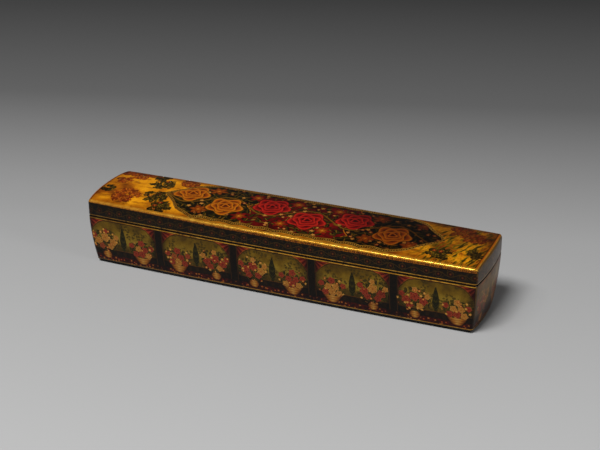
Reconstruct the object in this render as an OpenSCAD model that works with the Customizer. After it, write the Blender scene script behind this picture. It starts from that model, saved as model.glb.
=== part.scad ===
// Lidded pen box of lacquered papier-mache: a tapered base with bowed walls, a crowned
// lift-off lid that seats on an inner collar, and the writer's kit that lies inside.
// Millimetres. Origin on the table under the middle of the base, +X along the box, +Z up.

/* [Box] */
// Length over the walls at the seam
box_l = 272.5; // [240:0.5:320]
// Width over the walls at the seam, at mid length
box_w = 59; // [56:0.5:70]
// Height of the seam above the table
base_h = 35; // [30:0.5:40]
// Outward bow of each short end
end_bow = 1.6; // [0.6:0.2:4]
// Outward bow of each long side
side_bow = 1.7; // [0.3:0.1:2]
// Radius of the upright corners in plan
corner_r = 2.5; // [2:0.25:7]

/* [Base] */
// Thickness of the base walls at the rim
wall = 2.6; // [2.2:0.1:3.4]
// Thickness of the base floor
floor_t = 2.2; // [1.6:0.1:3]
// How far each end leans in from the seam to the foot
taper_end = 2.6; // [2:0.1:6]
// How far each long side leans in from the seam to the foot
taper_side = 4.4; // [1.5:0.1:5.5]
// Curve of the lean: 1 is a flat wall, more is a wall that turns in towards the foot
taper_power = 1.7; // [1:0.1:2.5]
// Width of the worn chamfer round the foot and the rim
edge_break = 0.6; // [0.3:0.1:1]
// Thickness of the black board under the foot
board_t = 1.4; // [1:0.1:2.5]
// How far the board stands back from the foot
board_setback = 0.9; // [0.4:0.1:2]

/* [Lid] */
// Height of the upright rim of the lid
rim_h = 10.8; // [6:0.2:14]
// Rise of the crown above the rim
crown_h = 2.7; // [2:0.1:7]
// Fullness of the crown: 2 is an ellipse, more is flatter on top
crown_power = 2.18; // [2:0.02:2.6]
// Thickness of the lid over the crown
lid_t = 2.6; // [2:0.1:3.4]
// Height of the shadow groove at the foot of the lid rim
reveal_h = 0.7; // [0.4:0.1:1.2]
// Depth of the shadow groove
reveal_d = 0.6; // [0.3:0.1:1]

/* [Collar and linings] */
// Thickness of the collar strips
collar_t = 1.5; // [1:0.1:2]
// Height of the collar above the seam
collar_up = 3.8; // [2.5:0.1:4.4]
// Depth of the collar below the seam
collar_down = 8; // [6:0.5:12]
// Gap between the collar and the lid rim
collar_gap = 0.35; // [0.25:0.05:0.6]
// Gap left at each corner between two collar strips
collar_corner = 1.2; // [0.8:0.1:3]
// Thickness of the lining sheets
lining_t = 0.5; // [0.3:0.1:1]

/* [Inkwell] */
// Thickness of the partition beside the inkwell
partition_t = 2.2; // [1.6:0.1:3]
// Height of the partition above the lining
partition_h = 19; // [15:0.5:22]
// Outer radius of the pot
pot_r = 17; // [14:0.25:18]
// Height of the pot without its top plate
pot_h = 11.5; // [9:0.25:13]
// Wall and floor thickness of the pot
pot_t = 1.3; // [1:0.1:1.8]
// Thickness of the top plate and of the cover
plate_t = 1.4; // [1:0.1:1.8]
// Radius of the mouth
mouth_r = 6; // [5:0.25:7]
// Wall thickness of the neck round the mouth
neck_t = 2; // [1.2:0.1:2.5]
// Height of the neck above the top plate
neck_h = 2; // [1.6:0.1:3]
// Overhang of the cover past the neck
cover_lip = 0.4; // [0.2:0.1:0.8]
// Radius of the hinge pin
pin_r = 0.8; // [0.6:0.05:1]
// Running clearance round the hinge pin
pin_gap = 0.06; // [0.03:0.01:0.1]
// Metal left round the hinge pin
knuckle_t = 0.85; // [0.6:0.05:1]
// Length of the knuckle on the cover
knuckle_l = 7.6; // [6:0.2:9]
// Thickness of each hinge lug
lug_t = 1.6; // [1.2:0.1:2.2]
// Radius of the knob on the cover
knob_r = 1.9; // [1.4:0.1:2.4]
// Radius of the neck under the knob
knob_neck_r = 1.05; // [0.7:0.05:1.3]
// Height of the foot and of the neck of the knob
knob_step = 0.6; // [0.4:0.1:1]

/* [Writing kit] */
// Radius of a reed pen
pen_r = 2.6; // [2.4:0.1:3.2]
// Free length left at each end of a pen
pen_end_gap = 8; // [4:0.5:20]
// Length of the slanted nib cut
nib_l = 24; // [16:1:32]
// Thickness left at the tip of the nib
nib_t = 1.2; // [0.8:0.1:1.8]
// Gap between the tools that lie side by side
tool_gap = 0.7; // [0.6:0.1:1.4]
// Radius of the knife handle over its corners
handle_r = 3.5; // [3:0.1:4]
// Length of the knife handle
handle_l = 74; // [60:1:90]
// Length of the brass ferrule
ferrule_l = 5; // [3:0.5:8]
// Length of the knife blade
blade_l = 48; // [36:1:60]
// Width of the knife blade
blade_w = 5.5; // [4:0.1:6]
// Length of the sloping point of the blade
point_l = 13; // [8:0.5:20]
// Thickness of the knife blade
blade_t = 1.1; // [0.8:0.1:1.6]
// Length of the bone plate that nibs are cut on
nib_plate_l = 82; // [60:1:95]
// Width of that plate
nib_plate_w = 8; // [7:0.25:9]
// Thickness of that plate
nib_plate_t = 2.6; // [2:0.1:3.5]
// Length of the raised step on that plate
nib_step_l = 15; // [10:0.5:24]
// Height of the step
nib_step_h = 1.3; // [0.8:0.1:2]
// How far the step stands in from the long edges
nib_step_in = 0.8; // [0.4:0.1:1.4]
// Radius of the spoon bowl
spoon_r = 4.4; // [4:0.1:5]
// Depth of the spoon bowl
spoon_h = 3.6; // [3:0.1:5]
// Wall thickness of the spoon bowl
spoon_t = 0.8; // [0.5:0.1:1.1]
// Size of the turned-in foot of the spoon bowl
spoon_turn = 2; // [1.5:0.1:2.6]
// Length of the spoon stem
stem_l = 78; // [60:1:85]
// Radius of the spoon stem
stem_r = 0.9; // [0.7:0.05:1.2]

/* [Hidden] */
$fn = 48;
end_steps = 6;
corner_steps = 6;
side_steps = 10;
wall_levels = 7;
arch_steps = 18;
room_levels = 5;
partition_levels = 6;
// How far a cutting tool runs past a face, and the least lift between two faces
past = 1;
hair = 0.001;
clear = 0.3;
seat_gap = 0.05;
fillet = 2;
half_l = box_l / 2;
half_w = box_w / 2;
wall_h = base_h - board_t;
floor_z = board_t + floor_t;
lining_z = floor_z + lining_t;
lid_wall = wall - collar_gap;
crown_round = 2.04;
crown_in_share = 0.9;
least_corner = 0.8;
pot_foot = 1;
handle_sides = 8;
knob_sink_share = 0.8;
lid_lining_share = 0.9;

// Ink end: partition, pot and hinge, measured from the right-hand inner wall
foot_in_l = half_l - taper_end - wall - fillet - end_bow;
foot_in_w = half_w - taper_side - wall - fillet - side_bow;
pot_x = foot_in_l - clear - pot_r;
partition_x = pot_x - pot_r - clear - partition_t;
plate_z = lining_z + pot_h;
neck_z = plate_z + plate_t + neck_h;
neck_r = mouth_r + neck_t;
cover_r = neck_r + cover_lip;
knuckle_r = pin_r + pin_gap + knuckle_t;
pin_y = cover_r + knuckle_r + clear;
pin_z = neck_z + plate_t / 2;

// Kit: rows across the floor, counted from the front wall
pen_left = -foot_in_l + pen_end_gap;
pen_l = partition_x - pen_end_gap - pen_left;
pen_pitch = 2 * pen_r + tool_gap;
pen_y = -foot_in_w + clear + pen_r;
pen_z = lining_z + seat_gap + pen_r;
handle_turn = 180 / handle_sides;
handle_flat = handle_r * cos(handle_turn);
knife_y = pen_y + 2 * pen_pitch + pen_r + tool_gap + handle_r;
knife_z = lining_z + seat_gap + handle_flat;
back_row_y = knife_y + handle_r + tool_gap + max(nib_plate_w / 2, spoon_r);
nib_plate_x = pen_left;
spoon_x = partition_x - pen_end_gap - spoon_r;

// One quarter of the plan outline, from the middle of the right end to the middle of the back
function quarter(a, b, r) =
    let (xc = a - end_bow - r, yc = b - side_bow - r)
    concat(
        [for (i = [0 : end_steps - 1]) let (k = i / end_steps) [a - end_bow * k * k, yc * k]],
        [for (i = [0 : corner_steps]) let (t = 90 * i / corner_steps) [xc + r * cos(t), yc + r * sin(t)]],
        [for (i = [side_steps - 1 : -1 : 0]) let (k = i / side_steps) [xc * k, b - side_bow * k * k]]
    );

// The whole outline, anticlockwise, stepped in from the seam by in_l at the ends and in_w at the sides
function outline(in_l, in_w) =
    let (
        q = quarter(half_l - in_l, half_w - in_w, max(corner_r - min(in_l, in_w), least_corner)),
        n = len(q)
    )
    concat(
        q,
        [for (i = [n - 2 : -1 : 0]) [-q[i][0], q[i][1]]],
        [for (i = [1 : n - 1]) [-q[i][0], -q[i][1]]],
        [for (i = [n - 2 : -1 : 1]) [q[i][0], -q[i][1]]]
    );

function at_height(points, z) = [for (p = points) [p[0], p[1], z]];

// How far a wall has leaned in at height z
function lean(z) = pow(max(base_h - z, 0) / wall_h, taper_power);

// Outline of the outer wall at height z, stepped in by a further amount
function wall_ring(z, inset) =
    at_height(outline(taper_end * lean(z) + inset, taper_side * lean(z) + inset), z);

// Half width of the room inside the base at height z, at a place along the box
function room_half_w(x, z) =
    let (xc = half_l - end_bow - corner_r)
    half_w - wall - taper_side * lean(z) - side_bow * pow(x / xc, 2);

// A closed solid through a list of rings, with a cap on the first and on the last
module skin(rings) {
    n = len(rings[0]);
    m = len(rings);
    points = concat(
        [for (ring = rings) for (p = ring) p],
        [[0, 0, rings[0][0][2]], [0, 0, rings[m - 1][0][2]]]
    );
    sides = [
        for (k = [0 : m - 2]) for (i = [0 : n - 1])
            let (j = (i + 1) % n, a = k * n, b = (k + 1) * n)
            each [[a + i, b + i, b + j], [a + i, b + j, a + j]]
    ];
    first_cap = [for (i = [0 : n - 1]) [n * m, i, (i + 1) % n]];
    last_cap = [for (i = [0 : n - 1]) [n * m + 1, (m - 1) * n + (i + 1) % n, (m - 1) * n + i]];
    polyhedron(points = points, faces = concat(sides, first_cap, last_cap), convexity = 4);
}

// Height of the crown above its spring line, at a share of the half width
function arch_rise(share) = pow(max(1 - pow(abs(share), crown_power), 0), 1 / crown_round);

// Points of an arch from the right-hand spring to the left-hand one
function arch(half, spring, rise) = [
    for (i = [0 : arch_steps])
        let (share = cos(180 * i / arch_steps))
        [half * share, spring + rise * arch_rise(share)]
];

// A bar along the box with a given section, given as points across and up
module along_box(section) {
    rotate([90, 0, 90]) linear_extrude(height = box_l + 2 * past, center = true) polygon(section);
}

// Papier-mache trough with leaning, bowed walls
module base_shell() {
    step = (base_h - edge_break - board_t - edge_break) / wall_levels;
    outer = concat(
        [wall_ring(board_t, edge_break)],
        [for (i = [0 : wall_levels]) wall_ring(board_t + edge_break + i * step, 0)],
        [wall_ring(base_h, edge_break)]
    );
    land_z = base_h - collar_down;
    room_step = (land_z - floor_z - fillet) / room_levels;
    inner = concat(
        [at_height(outline(wall, wall), base_h), at_height(outline(wall, wall), land_z)],
        [for (i = [1 : room_levels]) wall_ring(land_z - i * room_step, wall)],
        [at_height(outline(taper_end + wall + fillet, taper_side + wall + fillet), floor_z)]
    );
    color("#3a3a22") skin(concat(outer, inner));
}

// Black board let under the foot
module base_board() {
    inset = edge_break + board_setback;
    color("#15110c")
        linear_extrude(height = board_t) polygon(outline(taper_end + inset, taper_side + inset));
}

// Ring of the collar in plan
module collar_plan() {
    difference() {
        polygon(outline(wall, wall));
        polygon(outline(wall + collar_t, wall + collar_t));
    }
}

// One strip of the collar: the part of its ring that lies in a rectangle
module collar_strip(middle, size) {
    color("#6b2a16")
        translate([0, 0, base_h - collar_down])
            linear_extrude(height = collar_down + collar_up)
                intersection() {
                    collar_plan();
                    translate(middle) square(size, center = true);
                }
}

// A long strip, on the front side (-1) or the back (1)
module collar_long(side) {
    length = box_l - 2 * (wall + end_bow + corner_r + collar_corner);
    depth = wall + collar_t + side_bow + 2 * past;
    collar_strip([0, side * (half_w - depth / 2)], [length, depth]);
}

// A short strip, on the left end (-1) or the right (1)
module collar_short(side) {
    width = box_w - 2 * (wall + side_bow + corner_r + collar_corner);
    depth = wall + collar_t + end_bow + 2 * past;
    collar_strip([side * (half_l - depth / 2), 0], [depth, width]);
}

// Lining paper on the floor of the base
module floor_lining() {
    inset = wall + fillet + clear;
    color("#8a2f1c")
        translate([0, 0, floor_z])
            linear_extrude(height = lining_t) polygon(outline(taper_end + inset, taper_side + inset));
}

// Cross board between the pens and the inkwell
module ink_partition() {
    top = lining_z + partition_h;
    foot = lining_z + fillet;
    step = (top - foot) / partition_levels;
    levels = [for (i = [0 : partition_levels]) foot + i * step];
    right = concat([[foot_in_w, lining_z]], [for (z = levels) [room_half_w(partition_x, z) - clear, z]]);
    section = concat(right, [for (i = [len(right) - 1 : -1 : 0]) [-right[i][0], right[i][1]]]);
    color("#5a2415")
        translate([partition_x, 0, 0])
            rotate([90, 0, 90]) linear_extrude(height = partition_t) polygon(section);
}

// Open brass pot
module inkwell_pot() {
    color("#b08d45")
        translate([pot_x, 0, lining_z])
            rotate_extrude()
                polygon([
                    [0, 0], [pot_r - pot_foot, 0], [pot_r, pot_foot], [pot_r, pot_h],
                    [pot_r - pot_t, pot_h], [pot_r - pot_t, pot_t], [0, pot_t]
                ]);
}

// Top plate with the neck round the mouth
module inkwell_top() {
    color("#b08d45")
        translate([pot_x, 0, plate_z])
            rotate_extrude()
                polygon([
                    [mouth_r, 0], [pot_r, 0], [pot_r, plate_t], [neck_r, plate_t],
                    [neck_r, plate_t + neck_h], [mouth_r, plate_t + neck_h]
                ]);
}

// A cylinder along the box, centred on the hinge line
module hinge_round(radius, length) {
    translate([pot_x, pin_y, pin_z]) rotate([0, 90, 0]) cylinder(r = radius, h = length, center = true);
}

// Two lugs that carry the hinge pin
module inkwell_lugs() {
    foot_z = plate_z + plate_t;
    out = knuckle_l / 2 + clear + lug_t / 2;
    color("#a5823e")
        for (side = [-1, 1])
            translate([side * out, 0, 0])
                difference() {
                    union() {
                        hinge_round(knuckle_r, lug_t);
                        translate([pot_x - lug_t / 2, pin_y - knuckle_r, foot_z])
                            cube([lug_t, 2 * knuckle_r, pin_z - foot_z]);
                    }
                    hinge_round(pin_r, lug_t + past);
                }
}

// Hinge pin through the lugs and the cover's knuckle
module inkwell_pin() {
    color("#d0c29a") hinge_round(pin_r, knuckle_l + 2 * (clear + lug_t));
}

// Round cover with its tongue and knuckle
module inkwell_cover() {
    color("#b8964c")
        difference() {
            union() {
                translate([pot_x, 0, neck_z]) cylinder(r = cover_r, h = plate_t);
                translate([pot_x - knuckle_l / 2, 0, neck_z]) cube([knuckle_l, pin_y, plate_t]);
                hinge_round(knuckle_r, knuckle_l);
            }
            hinge_round(pin_r + pin_gap, knuckle_l + past);
        }
}

// Turned knob on the cover
module cover_knob() {
    color("#c9a85c")
        translate([pot_x, 0, neck_z + plate_t])
            rotate_extrude()
                intersection() {
                    union() {
                        square([knob_r, knob_step]);
                        square([knob_neck_r, knob_step + knob_r]);
                        translate([0, 2 * knob_step + knob_r * knob_sink_share]) circle(r = knob_r);
                    }
                    square([knob_r, 2 * knob_step + 2 * knob_r]);
                }
}

// A reed with a slanted scoop at its nib end, in a row counted from the front
module reed_pen(row, tone) {
    color(tone)
        translate([pen_left, pen_y + row * pen_pitch, pen_z])
            difference() {
                rotate([0, 90, 0]) cylinder(r = pen_r, h = pen_l);
                rotate([90, 0, 0])
                    linear_extrude(height = 3 * pen_r, center = true)
                        polygon([
                            [pen_l - nib_l, pen_r], [pen_l + past, nib_t - pen_r],
                            [pen_l + past, pen_r + past], [pen_l - nib_l, pen_r + past]
                        ]);
            }
}

// Eight-sided bone handle of the penknife
module knife_handle() {
    color("#d9c9a0")
        translate([pen_left, knife_y, knife_z])
            rotate([0, 90, 0]) rotate([0, 0, handle_turn])
                cylinder(r = handle_r, h = handle_l, $fn = handle_sides);
}

// Brass ferrule between the handle and the blade
module knife_ferrule() {
    color("#b08d45")
        translate([pen_left + handle_l, knife_y, knife_z])
            rotate([0, 90, 0]) cylinder(r = handle_flat, h = ferrule_l);
}

// Steel blade with a straight edge and a sloping point
module knife_blade() {
    half = blade_w / 2;
    color("#9aa0a6")
        translate([pen_left + handle_l + ferrule_l, knife_y, knife_z - blade_t / 2])
            linear_extrude(height = blade_t)
                polygon([[0, -half], [blade_l, -half], [blade_l - point_l, half], [0, half]]);
}

// Bone slip with a raised step on which nibs are cut
module nib_plate() {
    end_r = nib_plate_w / 2;
    color("#e2d6b4")
        translate([nib_plate_x, back_row_y, lining_z]) {
            translate([end_r, -end_r, 0]) cube([nib_plate_l - nib_plate_w, nib_plate_w, nib_plate_t]);
            for (x = [end_r, nib_plate_l - end_r])
                translate([x, 0, 0]) cylinder(r = end_r, h = nib_plate_t);
            translate([(nib_plate_l - nib_step_l) / 2, -end_r + nib_step_in, 0])
                cube([nib_step_l, nib_plate_w - 2 * nib_step_in, nib_plate_t + nib_step_h]);
        }
}

// Small round bowl of the water spoon
module spoon_bowl() {
    color("#b08d45")
        translate([spoon_x, back_row_y, lining_z])
            rotate_extrude()
                polygon([
                    [0, 0], [spoon_r - spoon_turn, 0], [spoon_r, spoon_turn], [spoon_r, spoon_h],
                    [spoon_r - spoon_t, spoon_h], [spoon_r - spoon_t, spoon_turn],
                    [spoon_r - spoon_turn, spoon_t], [0, spoon_t]
                ]);
}

// Straight stem of the spoon, which slopes from the bowl down to the lining
module spoon_stem() {
    drop = asin((spoon_h - 2 * stem_r - 2 * seat_gap) / stem_l);
    start_x = spoon_x - spoon_r - seat_gap - stem_r * sin(drop);
    color("#b08d45")
        translate([start_x, back_row_y, lining_z + spoon_h - stem_r])
            rotate([0, -90 - drop, 0]) cylinder(r = stem_r, h = stem_l);
}

// The room or the outside of the lid: its plan cut by an arch along the box
module lid_form(inset, spring, rise) {
    half = half_w - inset;
    out = half + past;
    intersection() {
        linear_extrude(height = rim_h + crown_h + past) polygon(outline(inset, inset));
        along_box(concat(
            [[-out, -past], [out, -past], [out, spring]],
            arch(half, spring, rise),
            [[-out, spring]]
        ));
    }
}

// Crowned papier-mache lid with a shadow groove at the foot of its rim
module lid_shell() {
    rise = crown_in_share * crown_h;
    spring = rim_h + crown_h - lid_t - rise;
    color("#4a3a18")
        translate([0, 0, base_h])
            difference() {
                lid_form(0, rim_h, crown_h);
                translate([0, 0, -past])
                    linear_extrude(height = past + reveal_h)
                        difference() {
                            square([box_l + 2 * past, box_w + 2 * past], center = true);
                            polygon(outline(reveal_d, reveal_d));
                        }
                translate([0, 0, -hair]) lid_form(lid_wall, spring + hair, rise);
            }
}

// Lining sheet pasted under the crown
module lid_lining() {
    half = half_w - lid_wall;
    rise = crown_in_share * crown_h;
    spring = base_h + rim_h + crown_h - lid_t - rise;
    shares = [for (i = [0 : arch_steps]) lid_lining_share * cos(180 * i / arch_steps)];
    upper = [for (s = shares) [half * s, spring + rise * arch_rise(s)]];
    lower = [for (i = [arch_steps : -1 : 0]) [upper[i][0], upper[i][1] - lining_t]];
    inset = lid_wall + 2 * clear;
    color("#8a2f1c")
        intersection() {
            translate([0, 0, base_h])
                linear_extrude(height = rim_h + crown_h) polygon(outline(inset, inset));
            translate([0, 0, -seat_gap]) along_box(concat(upper, lower));
        }
}

base_shell();
base_board();
collar_long(-1);  // collar_front
collar_long(1);  // collar_back
collar_short(-1);  // collar_left
collar_short(1);  // collar_right
floor_lining();
ink_partition();
inkwell_pot();
inkwell_top();
inkwell_lugs();
inkwell_pin();
reed_pen(0, "#a8672c");  // reed_pen_broad
reed_pen(1, "#8f5423");  // reed_pen_medium
reed_pen(2, "#b87a3a");  // reed_pen_fine
knife_handle();
knife_ferrule();
knife_blade();
nib_plate();
spoon_bowl();
spoon_stem();
lid_shell();
lid_lining();
inkwell_cover();
cover_knob();
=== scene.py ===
# %% [markdown]
# A lacquered pen box, dressed in Blender. The solid model of the box comes first: it is loaded as a
# fixed frame, in metres, and every piece made below is laid over one of its nodes and rides on one of
# its bodies.

# %% Load the frame
import math

import bmesh
import bpy
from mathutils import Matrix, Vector


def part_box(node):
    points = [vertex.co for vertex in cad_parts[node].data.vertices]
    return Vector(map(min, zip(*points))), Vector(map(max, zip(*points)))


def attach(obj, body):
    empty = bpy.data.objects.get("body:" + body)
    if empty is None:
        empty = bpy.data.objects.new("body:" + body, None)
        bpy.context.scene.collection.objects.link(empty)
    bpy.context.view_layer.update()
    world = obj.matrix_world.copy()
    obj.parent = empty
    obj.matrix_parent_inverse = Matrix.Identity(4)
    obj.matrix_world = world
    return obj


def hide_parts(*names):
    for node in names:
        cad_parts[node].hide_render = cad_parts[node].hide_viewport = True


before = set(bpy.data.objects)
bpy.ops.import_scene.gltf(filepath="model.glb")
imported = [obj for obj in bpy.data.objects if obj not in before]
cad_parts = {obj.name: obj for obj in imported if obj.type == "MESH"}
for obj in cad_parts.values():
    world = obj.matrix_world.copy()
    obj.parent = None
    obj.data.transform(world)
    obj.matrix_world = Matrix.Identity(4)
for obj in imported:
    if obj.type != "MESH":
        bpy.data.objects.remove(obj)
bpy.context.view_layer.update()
MM = 0.001

# %% [markdown]
# The camera stands where the photographer stood: a little to the right of the front, a little above,
# and far enough away for a long lens. A camera could be aimed with a constraint, but a plain
# direction turned into a rotation is easier to read, and it stays put.

# %% Camera
AZIMUTH, ELEVATION, DISTANCE = math.radians(22.91), math.radians(24.66), 0.9306
AIM = Vector((0.00731, 0.0, 0.04161))
SENSOR_WIDTH, FOCAL_LENGTH = 36.0, 86.31
towards_camera = Vector((
    math.sin(AZIMUTH) * math.cos(ELEVATION),
    -math.cos(AZIMUTH) * math.cos(ELEVATION),
    math.sin(ELEVATION),
))
lens = bpy.data.cameras.new("studio_camera")
lens.sensor_width, lens.lens = SENSOR_WIDTH, FOCAL_LENGTH
camera = bpy.data.objects.new("studio_camera", lens)
camera.location = AIM + towards_camera * DISTANCE
camera.rotation_euler = towards_camera.to_track_quat("Z", "Y").to_euler()
bpy.context.scene.collection.objects.link(camera)
bpy.context.scene.camera = camera
bpy.context.scene.view_settings.view_transform = "Standard"
print("camera at", [round(c, 3) for c in camera.location])

# %% [markdown]
# Shader sums are easier to read as sums. This class wraps one socket of a material and gives it the
# usual operators, each of which adds a Math node. Every other node comes from `put`, which takes the
# node's type, its settings and the values or links of its sockets.


# %% Sums on sockets
class Tint:
    """One socket of a material, which can be added to, multiplied and mixed."""

    def __init__(self, tree, socket=None):
        self.tree, self.socket = tree, socket

    def put(self, kind, settings=None, values=None, out=0):
        node = self.tree.nodes.new("ShaderNode" + kind)
        for key, value in (settings or {}).items():
            if key == "stops":
                stops = node.color_ramp.elements
                while len(stops) < len(value):
                    stops.new(0.5)
                for stop, (place, colour) in zip(stops, value):
                    stop.position, stop.color = place, colour
            else:
                setattr(node, key, value)
        for key, value in (values or {}).items():
            if isinstance(value, Tint):
                self.tree.links.new(value.socket, node.inputs[key])
            else:
                node.inputs[key].default_value = value
        return Tint(self.tree, node.outputs[out])

    def sum(self, operation, *others):
        return self.put("Math", {"operation": operation}, dict(enumerate((self, *others))))

    def __add__(self, other):
        return self.sum("ADD", other)

    __radd__ = __add__

    def __mul__(self, other):
        return self.sum("MULTIPLY", other)

    __rmul__ = __mul__

    def __sub__(self, other):
        return self.sum("SUBTRACT", other)

    def __rsub__(self, other):
        return self.put("Math", {"operation": "SUBTRACT"}, {0: other, 1: self})

    def __truediv__(self, other):
        return self.sum("DIVIDE", other)

    def __pow__(self, other):
        return self.sum("POWER", other)

    def __abs__(self):
        return self.sum("ABSOLUTE")

    def share(self, low, high):
        """0 at low and 1 at high, straight between them and level beyond."""
        return self.put("MapRange", None, {0: self, 1: low, 2: high})

    def ease(self, low, high):
        """0 at low and 1 at high, with a soft step between; low may be the larger."""
        return self.put("MapRange", {"interpolation_type": "SMOOTHSTEP"}, {0: self, 1: low, 2: high})

    def within(self, low, high, soft):
        """1 between low and high, with soft edges."""
        return self.ease(low - soft, low + soft) * self.ease(high + soft, high - soft)

    def mixed(self, paint, amount, **settings):
        """This colour mixed with another, which is a Tint or a tone such as #a0522d."""
        colour = rgb(paint) if isinstance(paint, str) else paint
        return self.put("Mix", {"data_type": "RGBA", **settings}, {0: amount, 6: self, 7: colour}, 2)

    def over(self, paint, mask):
        """This colour with another painted over it where the mask is 1."""
        return self.mixed(paint, mask)

    def tinted(self, paint, amount):
        """This colour multiplied by another, by an amount."""
        return self.mixed(paint, amount, blend_type="MULTIPLY")

    def ramp(self, *stops):
        return self.put("ValToRGB", {"stops": [(place, rgb(tone)) for place, tone in stops]}, {0: self})

    def parts(self):
        """The X, Y and Z of a vector."""
        node = self.put("SeparateXYZ", None, {0: self}).socket.node
        return [Tint(self.tree, socket) for socket in node.outputs]

    def shifted(self, offset, scale=1.0):
        """A vector scaled, then moved."""
        scales = (scale,) * 3 if isinstance(scale, (int, float)) else scale
        return self.put("VectorMath", {"operation": "MULTIPLY_ADD"}, {0: self, 1: scales, 2: offset})

    def scaled(self, scale):
        return self.shifted((0.0, 0.0, 0.0), scale)

    def length(self):
        return self.put("VectorMath", {"operation": "LENGTH"}, {0: self}, 1)

    def noise(self, scale, detail=2.0, out=0):
        return self.put("TexNoise", None, {"Vector": self, "Scale": scale, "Detail": detail}, out)

    def bump(self, strength, depth):
        """The normal of a surface with this relief; the depth is in millimetres."""
        return self.put("Bump", None, {"Strength": strength, "Distance": depth * MM, "Height": self})


def rgb(tone):
    """A colour written as in a paint chart, such as #a0522d, as Blender's linear colour."""
    parts = [int(tone[i : i + 2], 16) / 255 for i in (1, 3, 5)]
    return tuple(c / 12.92 if c < 0.04045 else ((c + 0.055) / 1.055) ** 2.4 for c in parts) + (1.0,)


def flat_vector(x, y):
    return x.put("CombineXYZ", None, {0: x, 1: y})


def new_material(name):
    """A material with an empty shader, and a Tint to start its sums from."""
    material = bpy.data.materials.new(name)
    material.use_nodes = True
    return material, Tint(material.node_tree)


def shader(material, fixed, **linked):
    """Sets the main shader: fixed values on its own sockets, and links for what varies."""
    node = material.node_tree.nodes["Principled BSDF"]
    for key, value in fixed.items():
        node.inputs[key].default_value = value
    for key, tint in linked.items():
        material.node_tree.links.new(tint.socket, node.inputs[key.replace("_", " ").title()])
    return material


print("shader class ready")

# %% [markdown]
# The studio is a pale sweep of paper, nearly square to the camera, that turns darker towards the back. One
# broad soft lamp hangs high in front, a little to the left, a weaker one stands off to the right, and a
# little light comes from all round. Large lamps give the lacquer long soft reflections instead of hard
# spots. A short strip in front draws the bright line along the gilt shoulder of the lid. The lamp behind
# the box lies low, for the back wall alone, and is kept out of reflections, because the flat top would
# mirror it and turn grey.

# %% Floor and lamps
FLOOR_SIZE, SWEEP_TURN = 6.0, math.radians(17)
SWEEP_NEAR, SWEEP_FAR = -0.35, 1.6
AIR_STRENGTH = 0.06
bpy.ops.object.select_all(action="DESELECT")
bpy.ops.mesh.primitive_grid_add(x_subdivisions=4, y_subdivisions=4, size=FLOOR_SIZE, location=(0, 0, 0))
floor = bpy.context.object
floor.name = floor.data.name = "studio_floor"
floor_paper, ink = new_material("studio_paper")
across, back, _ = ink.put("TexCoord", None, None, "Object").parts()
away = back * math.cos(SWEEP_TURN) - across * math.sin(SWEEP_TURN)
grey = away.share(SWEEP_NEAR, SWEEP_FAR).ramp(
    (0.0, "#a8a8a8"), (0.22, "#909090"), (0.36, "#595959"), (0.6, "#1e1e1e"), (1.0, "#0a0a0a")
)
shader(floor_paper, {"Roughness": 0.9, "Specular IOR Level": 0.2}, base_color=grey)
floor.data.materials.append(floor_paper)


def lamp(name, place, size, watts, mirrored=True):
    """A soft rectangular lamp that looks at the box; only reflections show it, and only if mirrored."""
    light = bpy.data.lights.new(name, "AREA")
    light.shape, light.size, light.size_y = "RECTANGLE", *size
    light.energy = watts
    holder = bpy.data.objects.new(name, light)
    holder.location = place
    holder.visible_camera, holder.visible_glossy = False, mirrored
    holder.rotation_euler = (holder.location - AIM).to_track_quat("Z", "Y").to_euler()
    bpy.context.scene.collection.objects.link(holder)


lamp("key_lamp", (-0.28, -1.5, 2.7), (1.0, 1.0), 113.0)
lamp("strip_lamp", (-0.31, -0.6, 1.05), (0.4, 0.1), 3.0)
lamp("right_lamp", (1.5, -0.34, 0.55), (0.4, 0.5), 5.9)
lamp("back_lamp", (-0.3, 1.5, 0.07), (1.4, 0.1), 10.0, mirrored=False)
world = bpy.data.worlds.new("studio_air")
bpy.context.scene.world = world
world.use_nodes = True
air = world.node_tree.nodes["Background"].inputs
air["Color"].default_value, air["Strength"].default_value = (1.0, 1.0, 1.0, 1.0), AIR_STRENGTH

# %% [markdown]
# Modelling is done with Blender's own operators, as by hand: add a primitive, go into edit mode,
# select by place, extrude, bevel, bridge. An operator works on whatever is selected, so each piece
# starts by letting go of everything else. These helpers keep that habit in one place.


# %% Modelling helpers
def let_go():
    if bpy.context.mode != "OBJECT":
        bpy.ops.object.mode_set(mode="OBJECT")
    bpy.ops.object.select_all(action="DESELECT")


def hold(piece):
    """Selects one piece alone and makes it the active one."""
    let_go()
    bpy.context.view_layer.objects.active = piece
    piece.select_set(True)


def edit(piece):
    hold(piece)
    bpy.ops.object.mode_set(mode="EDIT")


def settle():
    """Moves the place, turn and size of the selected piece into its mesh."""
    bpy.ops.object.transform_apply(location=True, rotation=True, scale=True)


def pick(piece, kind, test):
    """Selects, in edit mode, the edges or faces that pass a test, and says how many."""
    bpy.ops.mesh.select_mode(type=kind)
    bpy.ops.mesh.select_all(action="DESELECT")
    mesh = bmesh.from_edit_mesh(piece.data)
    chosen = [item for item in getattr(mesh, {"EDGE": "edges", "FACE": "faces"}[kind]) if test(item)]
    for item in chosen:
        item.select_set(True)
    mesh.select_flush_mode()
    bmesh.update_edit_mesh(piece.data)
    return len(chosen)


def move_picked(piece, place):
    """Moves each selected vertex to place(its position)."""
    mesh = bmesh.from_edit_mesh(piece.data)
    for vert in mesh.verts:
        if vert.select:
            vert.co = place(vert.co)
    bmesh.update_edit_mesh(piece.data)


def extrude_rim(piece, place):
    """Extrudes the selected edges and moves the new ones to place(position)."""
    bpy.ops.mesh.extrude_edges_move()
    move_picked(piece, place)


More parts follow.
